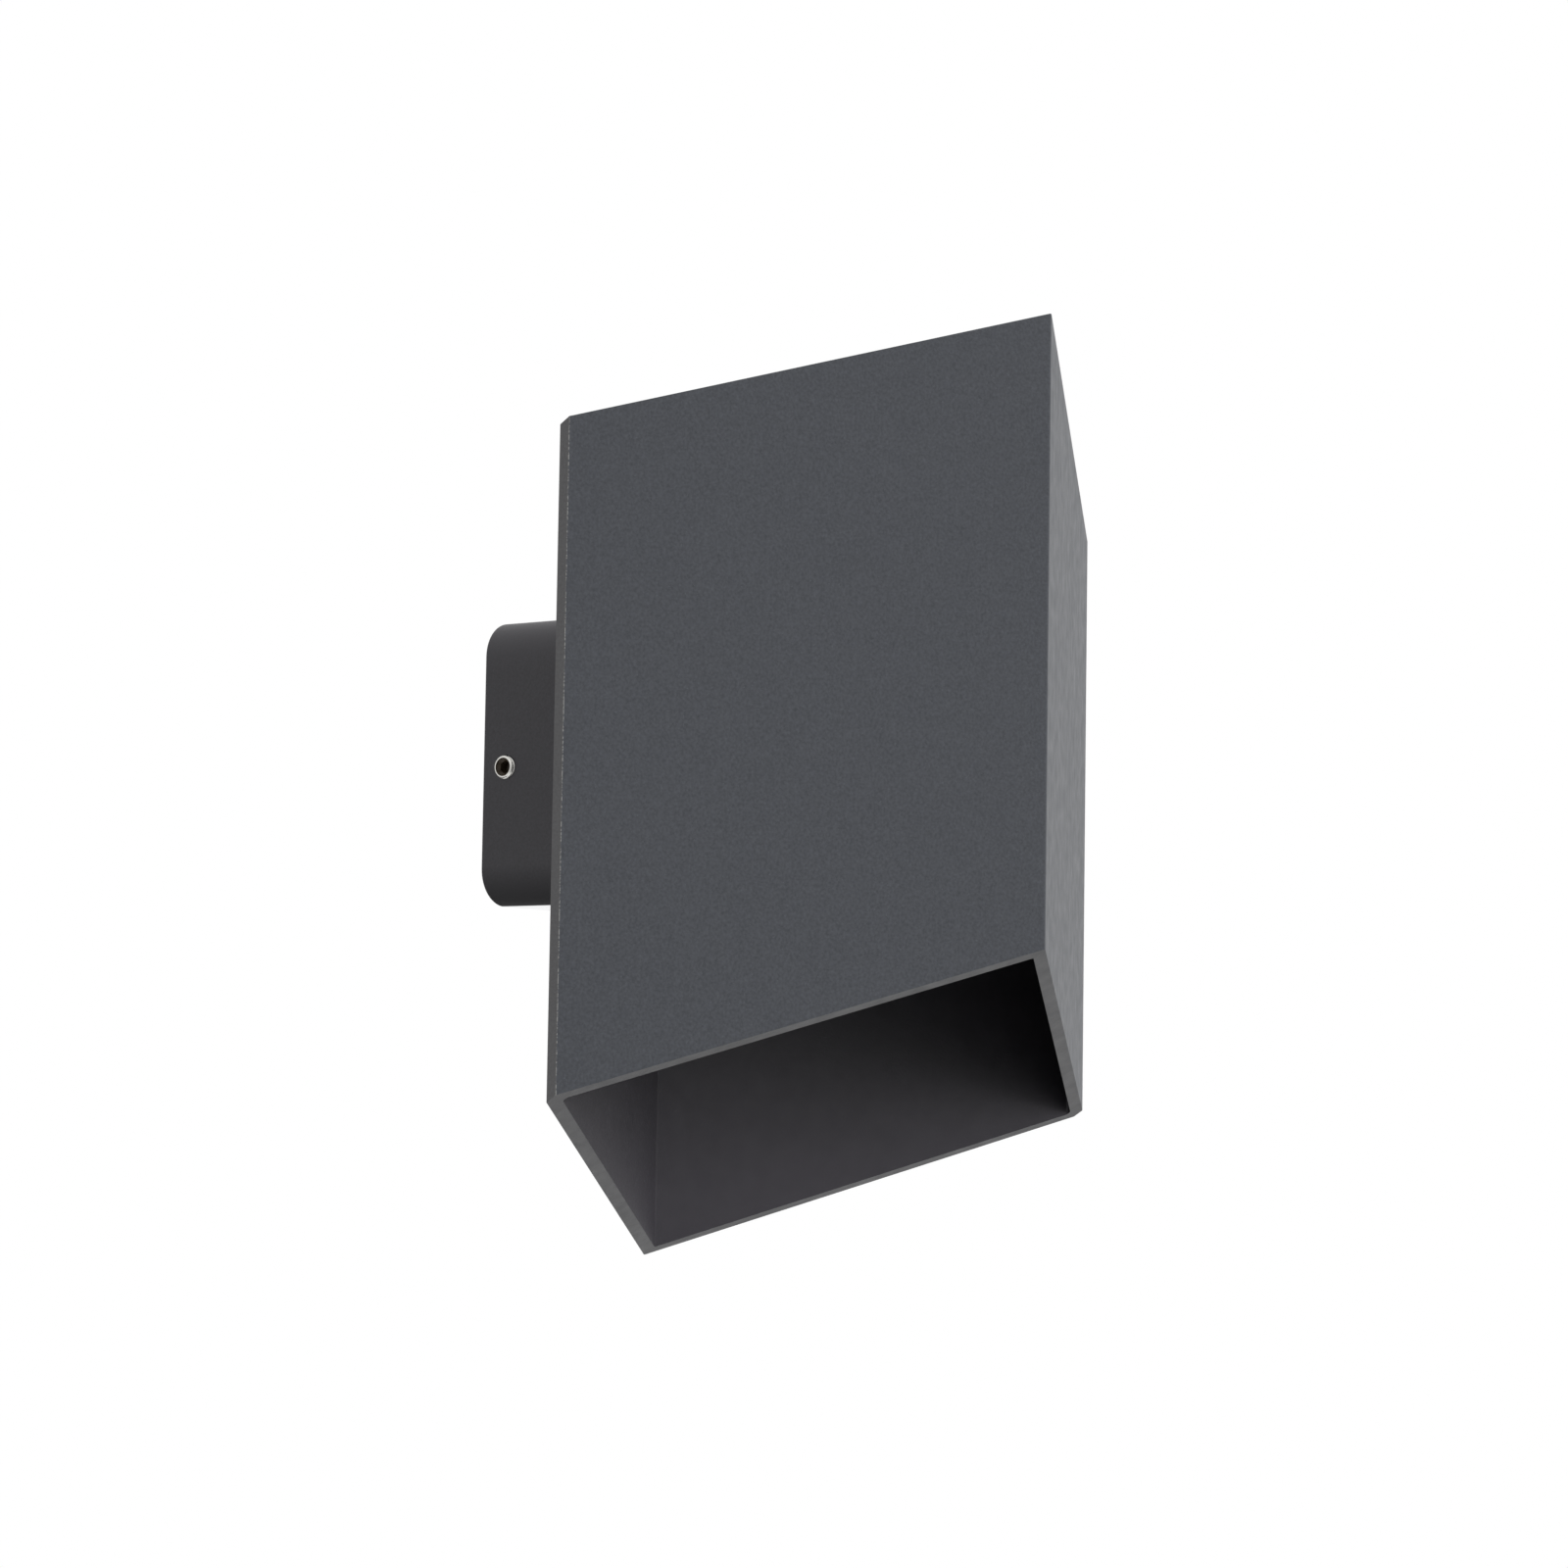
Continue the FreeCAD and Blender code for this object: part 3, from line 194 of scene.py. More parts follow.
class WallLightSizes(bpy.types.PropertyGroup):
    """Sizes of the details that the frame leaves plain."""

    side_angle: angle("Side angle", "Angle of the tube's section at each side corner", 54.8)
    wall: length("Tube wall", "Thickness of the tube's wall", 1.9 * MM)
    grub_pitch: length("Grub screw pitch", "Thread pitch of the two grub screws", 0.7 * MM)
    screw_pitch: length("Screw pitch", "Thread pitch of the tie, board and frame screws", 0.5 * MM)
    clamp_pitch: length("Clamping screw pitch", "Thread pitch of the terminal screws", 0.4 * MM)
    earth_pitch: length("Earth screw pitch", "Thread pitch of the earth screw", 0.7 * MM)
    screw_socket: length("Screw socket", "Width across the flats of the 3 mm screws' sockets", 2.0 * MM)
    clamp_socket: length(
        "Clamping screw socket", "Width across the flats of the terminal screws' sockets", 1.0 * MM)
    earth_socket: length("Earth screw socket", "Width across the flats of the earth screw's socket", 2.5 * MM)
    thread_start: factor("Thread start", "Turn at which the screws' threads start", 0.57)
    thread_share: factor("Thread depth", "Depth of a thread as a share of its pitch", 0.55)
    grub_socket: length("Grub socket", "Width across the flats of the grub screws' sockets", 2.0 * MM)
    grub_mouth: length("Grub mouth", "Width of the sunk mouth in front of the socket", 3.0 * MM)
    mouth_depth: length("Mouth depth", "Depth of that mouth", 0.7 * MM)
    socket_depth: length("Socket depth", "Depth of the socket", 2.4 * MM)
    rim_land: length("Rim land", "Upright rim of a frame screw's head", 0.2 * MM)
    grub_rim: length("Grub rim", "Radius of the rounded rim of a grub screw", 0.4 * MM)


class WallLightStage(bpy.types.PropertyGroup):
    """Camera, lamp, floor and room."""

    camera_azimuth: angle("Camera azimuth", "Turn of the camera round the upright axis", -54.206)
    camera_elevation: angle("Camera elevation", "Height angle of the camera, below the horizon", -4.991)
    camera_roll: angle("Camera roll", "Turn of the camera round its own axis", 0.8875)
    camera_distance: length("Camera distance", "Distance to the middle of the tube", 0.66246)
    camera_across: length("Camera across", "Middle of the tube right of the picture's centre", 0.00951)
    camera_down: length("Camera down", "Middle of the tube below the picture's centre", 0.00187)
    camera_lens: bpy.props.FloatProperty(
        name="Lens", description="Focal length on the camera's sensor", default=93.98,
        subtype="DISTANCE_CAMERA", unit="CAMERA")
    lamp_place: bpy.props.FloatVectorProperty(
        name="Lamp place", description="Place of the front lamp, from the middle of the tube",
        default=(0.05, -1.6, 0.35), size=3, subtype="TRANSLATION", unit="LENGTH")
    lamp_wide: length("Lamp width", "Width of the square front lamp", 0.8)
    lamp_power: bpy.props.FloatProperty(
        name="Lamp power", description="Power of the front lamp in watts", default=16.0, min=0.0,
        subtype="POWER", unit="POWER")
    floor_drop: length("Floor drop", "Floor below the middle of the tube", 0.55)
    floor_radius: length("Floor radius", "Radius of the round floor", 1.1)
    floor_tone: factor("Floor tone", "Grey of the floor", 0.35)
    floor_glow: factor("Floor glow", "Light of the floor on the rays that show it", 0.85)
    room_light: bpy.props.FloatProperty(
        name="Room light", description="Strength of the soft light from all round", default=0.43, min=0.0)
    room_tilt: factor("Room tilt", "Share by which the soft light is stronger above and weaker below", 0.6)


# ---- node trees ----

class Tree:
    """Adds nodes to one node tree."""

    def __init__(self, tree):
        self.tree = tree

    def node(self, kind, settings=None, inputs=None):
        """One node: its settings are set first, then the values or links of its sockets."""
        made = self.tree.nodes.new(kind)
        for name, value in (settings or {}).items():
            setattr(made, name, value)
        for key, value in (inputs or {}).items():
            self.feed(made.inputs[key], value)
        return made

    def feed(self, socket, value):
        if isinstance(value, Value):
            value = value.socket
        if isinstance(value, bpy.types.NodeSocket):
            self.tree.links.new(value, socket)
        else:
            socket.default_value = value

    def value(self, socket):
        return Value(self, socket)

    def math(self, operation, *terms):
        made = self.node("ShaderNodeMath", {"operation": operation}, dict(enumerate(terms)))
        return self.value(made.outputs[0])

    def blend(self, share, low, high):
        """Mixes two colours by a share."""
        made = self.node("ShaderNodeMix", {"data_type": "RGBA"}, {0: share, 6: low, 7: high})
        return made.outputs[2]


class Value:
    """A number socket that takes part in Python expressions."""

    def __init__(self, tree, socket):
        self.tree = tree
        self.socket = socket

    def __add__(self, other):
        return self.tree.math("ADD", self, other)

    def __radd__(self, other):
        return self.tree.math("ADD", other, self)

    def __sub__(self, other):
        return self.tree.math("SUBTRACT", self, other)

    def __rsub__(self, other):
        return self.tree.math("SUBTRACT", other, self)

    def __mul__(self, other):
        return self.tree.math("MULTIPLY", self, other)

    def __rmul__(self, other):
        return self.tree.math("MULTIPLY", other, self)

    def __truediv__(self, other):
        return self.tree.math("DIVIDE", self, other)

    def __rtruediv__(self, other):
        return self.tree.math("DIVIDE", other, self)

    def above(self, limit):
        return self.tree.math("GREATER_THAN", self, limit)

    def below(self, limit):
        return self.tree.math("LESS_THAN", self, limit)

    def clamp(self):
        return self.tree.math("MINIMUM", self.tree.math("MAXIMUM", self, 0.0), 1.0)


class Finish(Tree):
    """A material with one main shader, whose patterns read the place on the object."""

    def __init__(self, name):
        self.material = bpy.data.materials.new(name)
        self.material.use_nodes = True
        super().__init__(self.material.node_tree)
        self.shader = next(n for n in self.tree.nodes if n.type == "BSDF_PRINCIPLED")
        self.place = self.node("ShaderNodeTexCoord").outputs["Object"]

    def set(self, **inputs):
        for key, value in inputs.items():
            self.feed(self.shader.inputs[key.replace("_", " ")], value)

    def noise(self, grain, detail=2.0, stretch=(1.0, 1.0, 1.0), rough=0.5):
        """Soft noise from 0 to 1, whose blotches are about one grain wide."""
        place = self.node("ShaderNodeVectorMath", {"operation": "MULTIPLY"}, {0: self.place, 1: stretch})
        made = self.node("ShaderNodeTexNoise", None, {
            "Vector": place.outputs[0], "Scale": 1.0 / grain, "Detail": detail, "Roughness": rough})
        return self.value(made.outputs["Fac"])

    def axes(self):
        made = self.node("ShaderNodeSeparateXYZ", None, {0: self.place})
        return [self.value(socket) for socket in made.outputs]

    def radius(self, centre, axis):
        """Distance from a line through the centre along an axis: 0, 1 or 2."""
        parts = [part - middle for part, middle in zip(self.axes(), centre)]
        first, second = [part for index, part in enumerate(parts) if index != axis]
        return self.math("SQRT", first * first + second * second)

    def mottled(self, share, tone, dark, pale):
        """A colour that goes from a darker to a paler shade of one tone."""
        return self.blend(share, shade(tone, dark), shade(tone, pale))

    def bump(self, height, relief):
        made = self.node("ShaderNodeBump", None, {"Strength": 1.0, "Distance": relief, "Height": height})
        self.feed(self.shader.inputs["Normal"], made.outputs["Normal"])


def shade(tone, scale=1.0):
    """A colour, as it is or made lighter or darker, with its alpha."""
    return tuple(min(1.0, part * scale) for part in tone) + (1.0,)


def finishes():
    return bpy.context.scene.wall_light_finishes


def sizes():
    return bpy.context.scene.wall_light_sizes


# ---- finishes ----

def coat_grain(made):
    """Mottling of the powder coat, from 0 to 1, and its height: a fine grain, a broader one, and a sparse
    bright speck here and there."""
    size = finishes().coat_grain
    fine = made.noise(size, rough=0.55)
    broad = made.noise(size * BROAD_GRAIN, detail=1.0)
    speck = made.noise(size * SPECK_GRAIN, detail=0.0).above(SPECK_LEVEL)
    tone = (fine - 0.5) * FINE_CONTRAST + (broad - 0.5) * BROAD_CONTRAST + 0.5 + speck
    return tone.clamp(), fine * FINE_RISE + broad * BROAD_RISE + speck * SPECK_RISE


def mount_coat():
    """Matte dark powder coat of the mount box: painted light near its top, painted shade and a rougher coat
    where the sides turn under, and smooth on the flat underside, which mirrors the white room at a low angle."""
    made, look = Finish("powder coat of the mount box"), finishes()
    low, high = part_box("mount_cover")
    up = made.axes()[2]
    # painted shade round the underside, where the coat is also rougher
    under = ((low.z + look.underside - up) / look.underside).clamp()
    # painted light near the top
    over = ((up - high.z + look.top_light) / look.top_light).clamp()
    facing = made.node("ShaderNodeSeparateXYZ", None, {
        0: made.node("ShaderNodeNewGeometry").outputs["True Normal"]})
    flat = made.value(facing.outputs[2]).below(FACES_DOWN)
    tone, height = coat_grain(made)
    plain = made.mottled(tone, look.mount, dark=0.82, pale=1.18)
    plain = made.blend(over, plain, shade(look.mount, PAINTED_TOP_LIGHT))
    rough = look.coat_gloss + (tone - 0.5) * MOUNT_SHEEN + under * UNDER_ROUGH
    made.set(Base_Color=made.blend(under, plain, shade(look.mount, PAINTED_UNDER_SHADE)),
             Roughness=rough * (1.0 - flat * FLAT_SMOOTH),
             IOR=COAT_INDEX, Coat_Weight=flat, Coat_Roughness=look.under_gloss)
    made.bump(height * (1.0 - flat), look.coat_relief)
    return made.material


def tube_coat():
    """Matte dark powder coat of the tube. Inside it is browner, and darker as painted shade that gives
    way to painted light towards the ends; on the slanted ends and the flats of the side corners paler, with
    a dotted bright line along the edges of those flats, partly worn coat and partly a painted glint."""
    made, look = Finish("powder coat of the tube"), finishes()
    lean = sizes().side_angle / 2
    places = [vertex.co - LAMP_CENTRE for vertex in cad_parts["diamond_tube"].data.vertices]
    outer = max(abs(spot.x) * sin(lean) + abs(spot.y) * cos(lean) for spot in places)
    corner = max(spot.x for spot in places)
    flat = max(abs(spot.y) for spot in places if abs(spot.x) > corner - ON_PLANE)

    across, deep, up = [part - middle for part, middle in zip(made.axes(), LAMP_CENTRE)]
    front = deep + flat
    across, deep, up = [made.math("ABSOLUTE", part) for part in (across, deep, up)]
    inside = (across * sin(lean) + deep * cos(lean)).below(outer - sizes().wall / 2)
    facing = made.node("ShaderNodeSeparateXYZ", None, {
        0: made.node("ShaderNodeNewGeometry").outputs["Normal"]})
    cut = made.math("ABSOLUTE", made.value(facing.outputs[2])).above(FACES_UP_OR_DOWN)
    side = across - corner
    # dotted line of worn coat and painted glint along the edges of the corner flats
    near_edge = made.math("SQRT", side * side + front * front).below(look.rub_glint_width)
    rubbed_glint = near_edge * made.noise(look.rub_glint_dot, detail=1.0).above(RUB_GLINT_LEVEL) * (1.0 - cut)

    tone, height = coat_grain(made)
    # painted shade inside the tube: darkest round the middle, giving way to painted light toward the ends
    end_light = ((up - look.lining_deep) / look.lining_fade).clamp()
    cloudy = (end_light + (made.noise(look.lining_clouds, detail=3.0) - 0.5) * LINING_CLOUDS).clamp()
    lining_shade = made.mottled(cloudy, look.lining_shade, dark=0.65, pale=1.35)
    outside = made.mottled(tone, look.coat, dark=0.72, pale=1.28)
    ridge = made.mottled(tone, look.corner_flat, dark=0.85, pale=1.15)
    end = made.mottled(tone, look.cut_end, dark=0.75, pale=1.25)
    outside = made.blend(across.above(corner - CORNER_SKIN), outside, ridge)
    painted = made.blend(cut, made.blend(inside, outside, lining_shade), end)
    sheen = made.noise(look.coat_clouds, detail=3.0)
    made.set(Base_Color=made.blend(rubbed_glint, painted, shade(look.rubbed_glint)),
             Roughness=look.coat_gloss + (tone - 0.5) * TUBE_SHEEN + (sheen - 0.5) * CLOUD_SHEEN,
             IOR=COAT_INDEX)
    made.bump(height, look.coat_relief)
    return made.material


def grained(name, tone, dark, pale, grain, detail, rough, rougher, relief, relief_grain=None, metallic=0.0):
    """A finish with one noise in its colour and its roughness, which goes up from rough by rougher.
    The relief follows the same noise, or one of its own grain."""
    made = Finish(name)
    noise = made.noise(grain, detail)
    made.set(Base_Color=made.mottled(noise, tone, dark, pale), Metallic=metallic,
             Roughness=rough + rougher * noise)
    made.bump(made.noise(relief_grain) if relief_grain else noise, relief)
    return made.material


def black_casting():
    """Sand-cast black surface of the lamp carrier."""
    return grained("black casting", finishes().casting, dark=0.8, pale=1.3, grain=0.8 * MM, detail=3.0,
                   rough=0.5, rougher=0.2, relief=0.05 * MM)


def black_frame():
    """Fine-textured black coat of the sheet frames."""
    return grained("black sheet frame", finishes().frame_black, dark=0.85, pale=1.2, grain=0.35 * MM,
                   detail=2.0, rough=0.42, rougher=0.12, relief=0.015 * MM)


def driver_case():
    """Moulded black plastic with a spark-eroded grain."""
    return grained("driver case", finishes().driver, dark=0.8, pale=1.3, grain=0.3 * MM, detail=2.0,
                   rough=0.46, rougher=0.12, relief=0.02 * MM)


def nylon():
    """Off-white nylon with a faint cloudiness."""
    return grained("terminal nylon", finishes().nylon, dark=0.93, pale=1.03, grain=2 * MM, detail=3.0,
                   rough=0.44, rougher=0.1, relief=0.01 * MM, relief_grain=0.3 * MM)


def brass():
    """Machined brass with a little tarnish."""
    return grained("clamp brass", finishes().brass, dark=0.7, pale=1.08, grain=1.2 * MM, detail=4.0,
                   rough=0.28, rougher=0.2, relief=0.006 * MM, relief_grain=0.3 * MM, metallic=1.0)


def rubber():
    """Dull black rubber with a slight bloom."""
    return grained("black rubber", finishes().rubber, dark=0.8, pale=1.5, grain=3 * MM, detail=3.0,
                   rough=0.68, rougher=0.14, relief=0.01 * MM, relief_grain=0.2 * MM)


def silicone():
    """Soft grey silicone."""
    return grained("grey silicone", finishes().silicone, dark=0.94, pale=1.05, grain=2 * MM, detail=2.0,
                   rough=0.5, rougher=0.1, relief=0.008 * MM, relief_grain=0.25 * MM)


def turned_stainless(level):
    """Bright turned steel of the frame screws, with fine rings round each screw's own axis."""
    made, look = Finish(f"turned stainless {level}"), finishes()
    low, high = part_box(f"frame_screws_{level}")
    head = (high.y - low.y) / 2
    across, deep = made.axes()[:2]
    across = made.math("ABSOLUTE", across) - (high.x - head)
    deep = deep - (low.y + head)
    reach = made.math("SQRT", across * across + deep * deep)
    smear = made.noise(0.9 * MM, detail=3.0)
    made.set(Base_Color=made.mottled(smear, look.stainless, dark=0.86, pale=1.12), Metallic=1.0,
             Roughness=0.2 + 0.14 * smear)
    made.bump(made.math("SINE", reach * (2 * pi / look.head_rings)), 0.004 * MM)
    return made.material


def zinc_plate():
    """Plated steel with a faint, cloudy spangle and the fine lines of the drawn sheet."""
    made, look = Finish("zinc plate"), finishes()
    clouds = made.noise(4 * MM, detail=4.0, rough=0.6)
    drawn = made.noise(0.5 * MM, stretch=(1.0, 1.0, 0.08))
    made.set(Base_Color=made.mottled(clouds, look.zinc, dark=0.82, pale=1.1), Metallic=1.0,
             Roughness=0.3 + 0.16 * clouds)
    made.bump(drawn, 0.01 * MM)
    return made.material


def metallised():
    """Satin mirror coat of the reflector bowls."""
    made, look = Finish("metallised reflector"), finishes()
    haze = made.noise(5 * MM, detail=3.0)
    made.set(Base_Color=made.mottled(haze, look.mirror, dark=0.95, pale=1.05), Metallic=1.0,
             Roughness=0.14 + 0.1 * haze)
    made.bump(made.noise(1.5 * MM, detail=1.0), 0.01 * MM)
    return made.material


def light_board(level):
    """White solder mask with two tinned pads and a darker laminate edge."""
    made, look = Finish(f"light board {level}"), finishes()
    low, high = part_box(f"led_board_{level}")
    middle, reach = (low + high) / 2, (high - low).x / 2
    across, deep = [made.math("ABSOLUTE", part - half) for part, half in zip(made.axes()[:2], middle)]
    off_pad = made.math("ABSOLUTE", across - look.pad_width).below(look.pad_width / 2)
    pad = made.math("ABSOLUTE", deep - look.pad_place * reach).below(look.pad_height / 2) * off_pad
    edge = made.radius(middle, 2).above(reach - look.laminate_width)
    fine = made.noise(0.5 * MM)
    printed = made.blend(pad, made.mottled(fine, look.mask, dark=0.94, pale=1.04), shade(look.pads))
    made.set(Base_Color=made.blend(edge, printed, shade(look.laminate)),
             Metallic=(pad + edge).clamp(), Roughness=0.42 - 0.12 * pad + 0.05 * fine)
    made.bump(fine, 0.01 * MM)
    return made.material


def light_source(level):
    """Yellow phosphor inside a pale dam."""
    made, look = Finish(f"phosphor {level}"), finishes()
    low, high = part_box(f"led_chip_{level}")
    dam = made.radius((low + high) / 2, 2).above((high - low).x / 2 - look.dam_width)
    grain = made.noise(0.25 * MM)
    gel = made.mottled(grain, look.phosphor, dark=0.92, pale=1.08)
    made.set(Base_Color=made.blend(dam, gel, shade(look.dam)), Roughness=0.36 + 0.2 * dam)
    made.bump(grain, 0.01 * MM)
    return made.material


def window_glass():
    """Clear toughened glass with a trace of green."""
    made, look = Finish("window glass"), finishes()
    dust = made.noise(6 * MM, detail=4.0)
    made.set(Base_Color=made.mottled(dust, look.glass, dark=0.97, pale=1.03), Roughness=0.02 + 0.05 * dust,
             IOR=GLASS_INDEX, Transmission_Weight=1.0)
    return made.material


# ---- meshes ----

def dress(node, material):
    """Gives a piece of the frame its finish."""
    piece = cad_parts[node]
    piece.data.materials.clear()
    piece.data.materials.append(material)


def from_faces(name, build):
    """An object at the origin whose mesh is made by the function build, with clean outward faces."""
    mesh = bpy.data.meshes.new(name)
    work = bmesh.new()
    build(work)
    bmesh.ops.remove_doubles(work, verts=work.verts, dist=SAME_PLACE)
    bmesh.ops.recalc_face_normals(work, faces=work.faces)
    work.to_mesh(mesh)
    work.free()
    piece = bpy.data.objects.new(name, mesh)
    bpy.context.scene.collection.objects.link(piece)
    return piece


def add_sockets(tree, names):
    """Named inputs of a geometry tree, with a geometry in and out."""
    tree.interface.new_socket("Geometry", in_out="INPUT", socket_type="NodeSocketGeometry")
    for name, kind in names:
        tree.interface.new_socket(name, in_out="INPUT", socket_type=kind)
    tree.interface.new_socket("Geometry", in_out="OUTPUT", socket_type="NodeSocketGeometry")


def run_tree(piece, tree, values):
    """Runs a geometry tree on the piece, keeps the plain mesh it gives and removes the modifier."""
    modifier = piece.modifiers.new(tree.name, "NODES")
    modifier.node_group = tree
    for item in tree.interface.items_tree:
        if item.item_type == "SOCKET" and item.name in values:
            modifier[item.identifier] = values[item.name]
    shown = piece.evaluated_get(bpy.context.evaluated_depsgraph_get())
    mesh = bpy.data.meshes.new_from_object(shown)
    piece.modifiers.clear()
    piece.data = mesh


# ---- screws ----

def screw_tree():
    """Cuts a thread into a plain screw and sets a copy of it on every point of the piece. The copies are
    turned by the attribute "turn" and, at random, round their own axes."""
    tree = bpy.data.node_groups.new("threaded screws", "GeometryNodeTree")
    numbers = ("Pitch", "Depth", "Shank", "Start", "Phase", "Spin")
    add_sockets(tree, [("Screw", "NodeSocketObject"), *[(name, "NodeSocketFloat") for name in numbers],
                       ("Material", "NodeSocketMaterial")])
    make = Tree(tree)
    given = make.node("NodeGroupInput").outputs
    pitch, depth, shank, start, phase, most_spin = [make.value(given[name]) for name in numbers]
    blank = make.node("GeometryNodeObjectInfo", None, {"Object": given["Screw"]}).outputs["Geometry"]
    place = make.node("ShaderNodeSeparateXYZ", None, {0: make.node("GeometryNodeInputPosition").outputs[0]})
    x, y, z = [make.value(socket) for socket in place.outputs]
    reach = make.math("SQRT", x * x + y * y)
    turn = make.math("FRACT", phase + make.math("ARCTAN2", y, x) / (2 * pi) - z / pitch)
    ridge = make.math("ABSOLUTE", turn * 2.0 - 1.0)
    fade = ((0.0 - z - start) / (pitch * THREAD_FADE)).clamp() * reach.above(shank * SHANK_SHARE)
    scale = (reach - depth * fade * (1.0 - ridge * CREST_SLOPE).clamp()) / reach
    moved = make.node("ShaderNodeCombineXYZ", None, {0: x * scale, 1: y * scale, 2: z})
    threaded = make.node("GeometryNodeSetPosition", None, {"Geometry": blank, "Position": moved.outputs[0]})
    turned = make.node("GeometryNodeInputNamedAttribute", {"data_type": "FLOAT_VECTOR"}, {"Name": "turn"})
    toward = make.node("FunctionNodeEulerToRotation", None, {0: turned.outputs["Attribute"]})
    chance = make.node("FunctionNodeRandomValue", {"data_type": "FLOAT"}, {
        2: 0.0, 3: most_spin, "Seed": TREE_SEED})
    spun = make.node("ShaderNodeCombineXYZ", None, {2: chance.outputs[1]})
    spin = make.node("FunctionNodeEulerToRotation", None, {0: spun.outputs[0]})
    rotation = make.node("FunctionNodeRotateRotation", {"rotation_space": "LOCAL"}, {
        0: toward.outputs[0], 1: spin.outputs[0]})
    put = make.node("GeometryNodeInstanceOnPoints", None, {
        "Points": given["Geometry"], "Instance": threaded.outputs[0], "Rotation": rotation.outputs[0]})
    real = make.node("GeometryNodeRealizeInstances", None, {"Geometry": put.outputs[0]})
    painted = make.node("GeometryNodeSetMaterial", None, {"Geometry": real.outputs[0],
                                                          "Material": given["Material"]})
    make.node("NodeGroupOutput", None, {0: painted.outputs[0]})
    return tree


def parts_of(node):
    """The separate parts of a node's mesh, each as a list of places, in a fixed order."""
    def low_corner(part):
        return [round(min(spot[k] for spot in part), PLACE_DIGITS) for k in range(3)]

    work, parts = bmesh.new(), []
    work.from_mesh(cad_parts[node].data)
    bmesh.ops.remove_doubles(work, verts=work.verts, dist=SAME_PLACE)
    left = set(work.verts)
    while left:
        part = [left.pop()]
        for vertex in part:
            near = [edge.other_vert(vertex) for edge in vertex.link_edges]
            part += [other for other in near if other in left]
            left.difference_update(near)
        parts.append([vertex.co.copy() for vertex in part])
    work.free()
    return sorted(parts, key=low_corner)


def measure(spots, toward):
    """Middle of the head's top, reach of the head, reach of the shank and height of one screw."""
    across = toward.orthogonal().normalized()
    middle = Vector()
    for axis in (across, toward.cross(across)):
        places = [spot.dot(axis) for spot in spots]
        middle += axis * (max(places) + min(places)) / 2
    heights = [spot.dot(toward) for spot in spots]
    top, foot = max(heights), min(heights)
    reaches = [(spot - toward * height - middle).length for spot, height in zip(spots, heights)]
    shank = max(reach for reach, height in zip(reaches, heights) if height < foot + SHANK_PART * (top - foot))
    return middle + toward * top, max(reaches), shank, top - foot


# outline: from the edge of the top to the shank; start and thread: depths at which the shank and the thread
# start; flats and sink: width across the flats and depth of the socket; mouth: radius and depth of the mouth
# before the socket; around: number of sides
ScrewShape = namedtuple("ScrewShape", "outline start thread flats sink mouth around")


def rounded(inner, outer, height):
    """Outline of a rounded edge, from the flat top down to the upright side."""
    arc = [pi / 2 * k / ARC_STEPS for k in range(ARC_STEPS + 1)]
    return [(inner + (outer - inner) * sin(turn), height * (1.0 - cos(turn))) for turn in arc]


def pan_shape(flats):
    """Pan head with a rounded crown."""
    def shape(head, shank):
        height = HEAD_SHARE * shank
        outline = rounded(CROWN_SHARE * head, head, EDGE_SHARE * height) + [(head, height)]
        return ScrewShape(outline, start=height, thread=height, flats=flats, sink=SINK_SHARE * height,
                          mouth=(flats / 2, 0.0), around=SIDES_OF_SCREW)
    return shape


def countersunk_shape(flats):
    """Flat head with a small bevel round its top and a cone under its rim."""
    def shape(head, shank):
        land = sizes().rim_land
        outline = [(head - land / 2, 0.0), (head, land / 2), (head, land)]
        return ScrewShape(outline, start=shank, thread=shank, flats=flats, sink=SINK_SHARE * shank,
                          mouth=(flats / 2, 0.0), around=SIDES_OF_SCREW)
    return shape


def grub_shape(head, shank):
    """No head: a rounded rim round a sunk mouth, with the thread running into the rim."""
    look = sizes()
    outline = rounded(shank - look.grub_rim, shank, look.grub_rim)
    mouth = (look.grub_mouth / 2, look.mouth_depth)
    return ScrewShape(outline, start=look.grub_rim, thread=0.0, flats=look.grub_socket,
                      sink=look.socket_depth, mouth=mouth, around=SIDES_OF_GRUB)


def screw_blank(name, shape, shank, total, pitch):
    """A plain screw made of rings, with a hex socket. The head's top lies on z = 0, the tip points down."""
    def hexagon(turn):
        return shape.flats / 2 / cos((turn + pi / 6) % (pi / 3) - pi / 6)

    steps = max(FEWEST_RINGS, round((total - shape.start) / pitch * RINGS_PER_PITCH))
    tip = TIP_SHARE * shank
    mouth, mouth_depth = shape.mouth
    rings = [(hexagon, shape.sink), (hexagon, mouth_depth)]
    if mouth_depth > 0.0:
        rings += [(mouth * MOUTH_REACH, mouth_depth * MOUTH_DEPTH), (mouth, 0.0)]
    rings += shape.outline
    rings += [(shank, shape.start + (total - tip - shape.start) * k / steps) for k in range(steps + 1)]
    rings += [(shank - tip, total)]
    turns = [2 * pi * k / shape.around for k in range(shape.around)]
    following = [(k, (k + 1) % shape.around) for k in range(shape.around)]

    def build(work):
        loops = []
        for reach, depth in rings:
            reaches = [reach(turn) if callable(reach) else reach for turn in turns]
            loops.append([work.verts.new((r * cos(turn), r * sin(turn), -depth))
                          for r, turn in zip(reaches, turns)])
        for first, second in zip(loops, loops[1:]):
            for k, after in following:
                work.faces.new((first[k], first[after], second[after], second[k]))
        for loop, depth in ((loops[0], shape.sink + shape.flats * DRILL_SHARE), (loops[-1], total)):
            middle = work.verts.new((0.0, 0.0, -depth))
            for k, after in following:
                work.faces.new((loop[k], loop[after], middle))

    return from_faces(name, build)


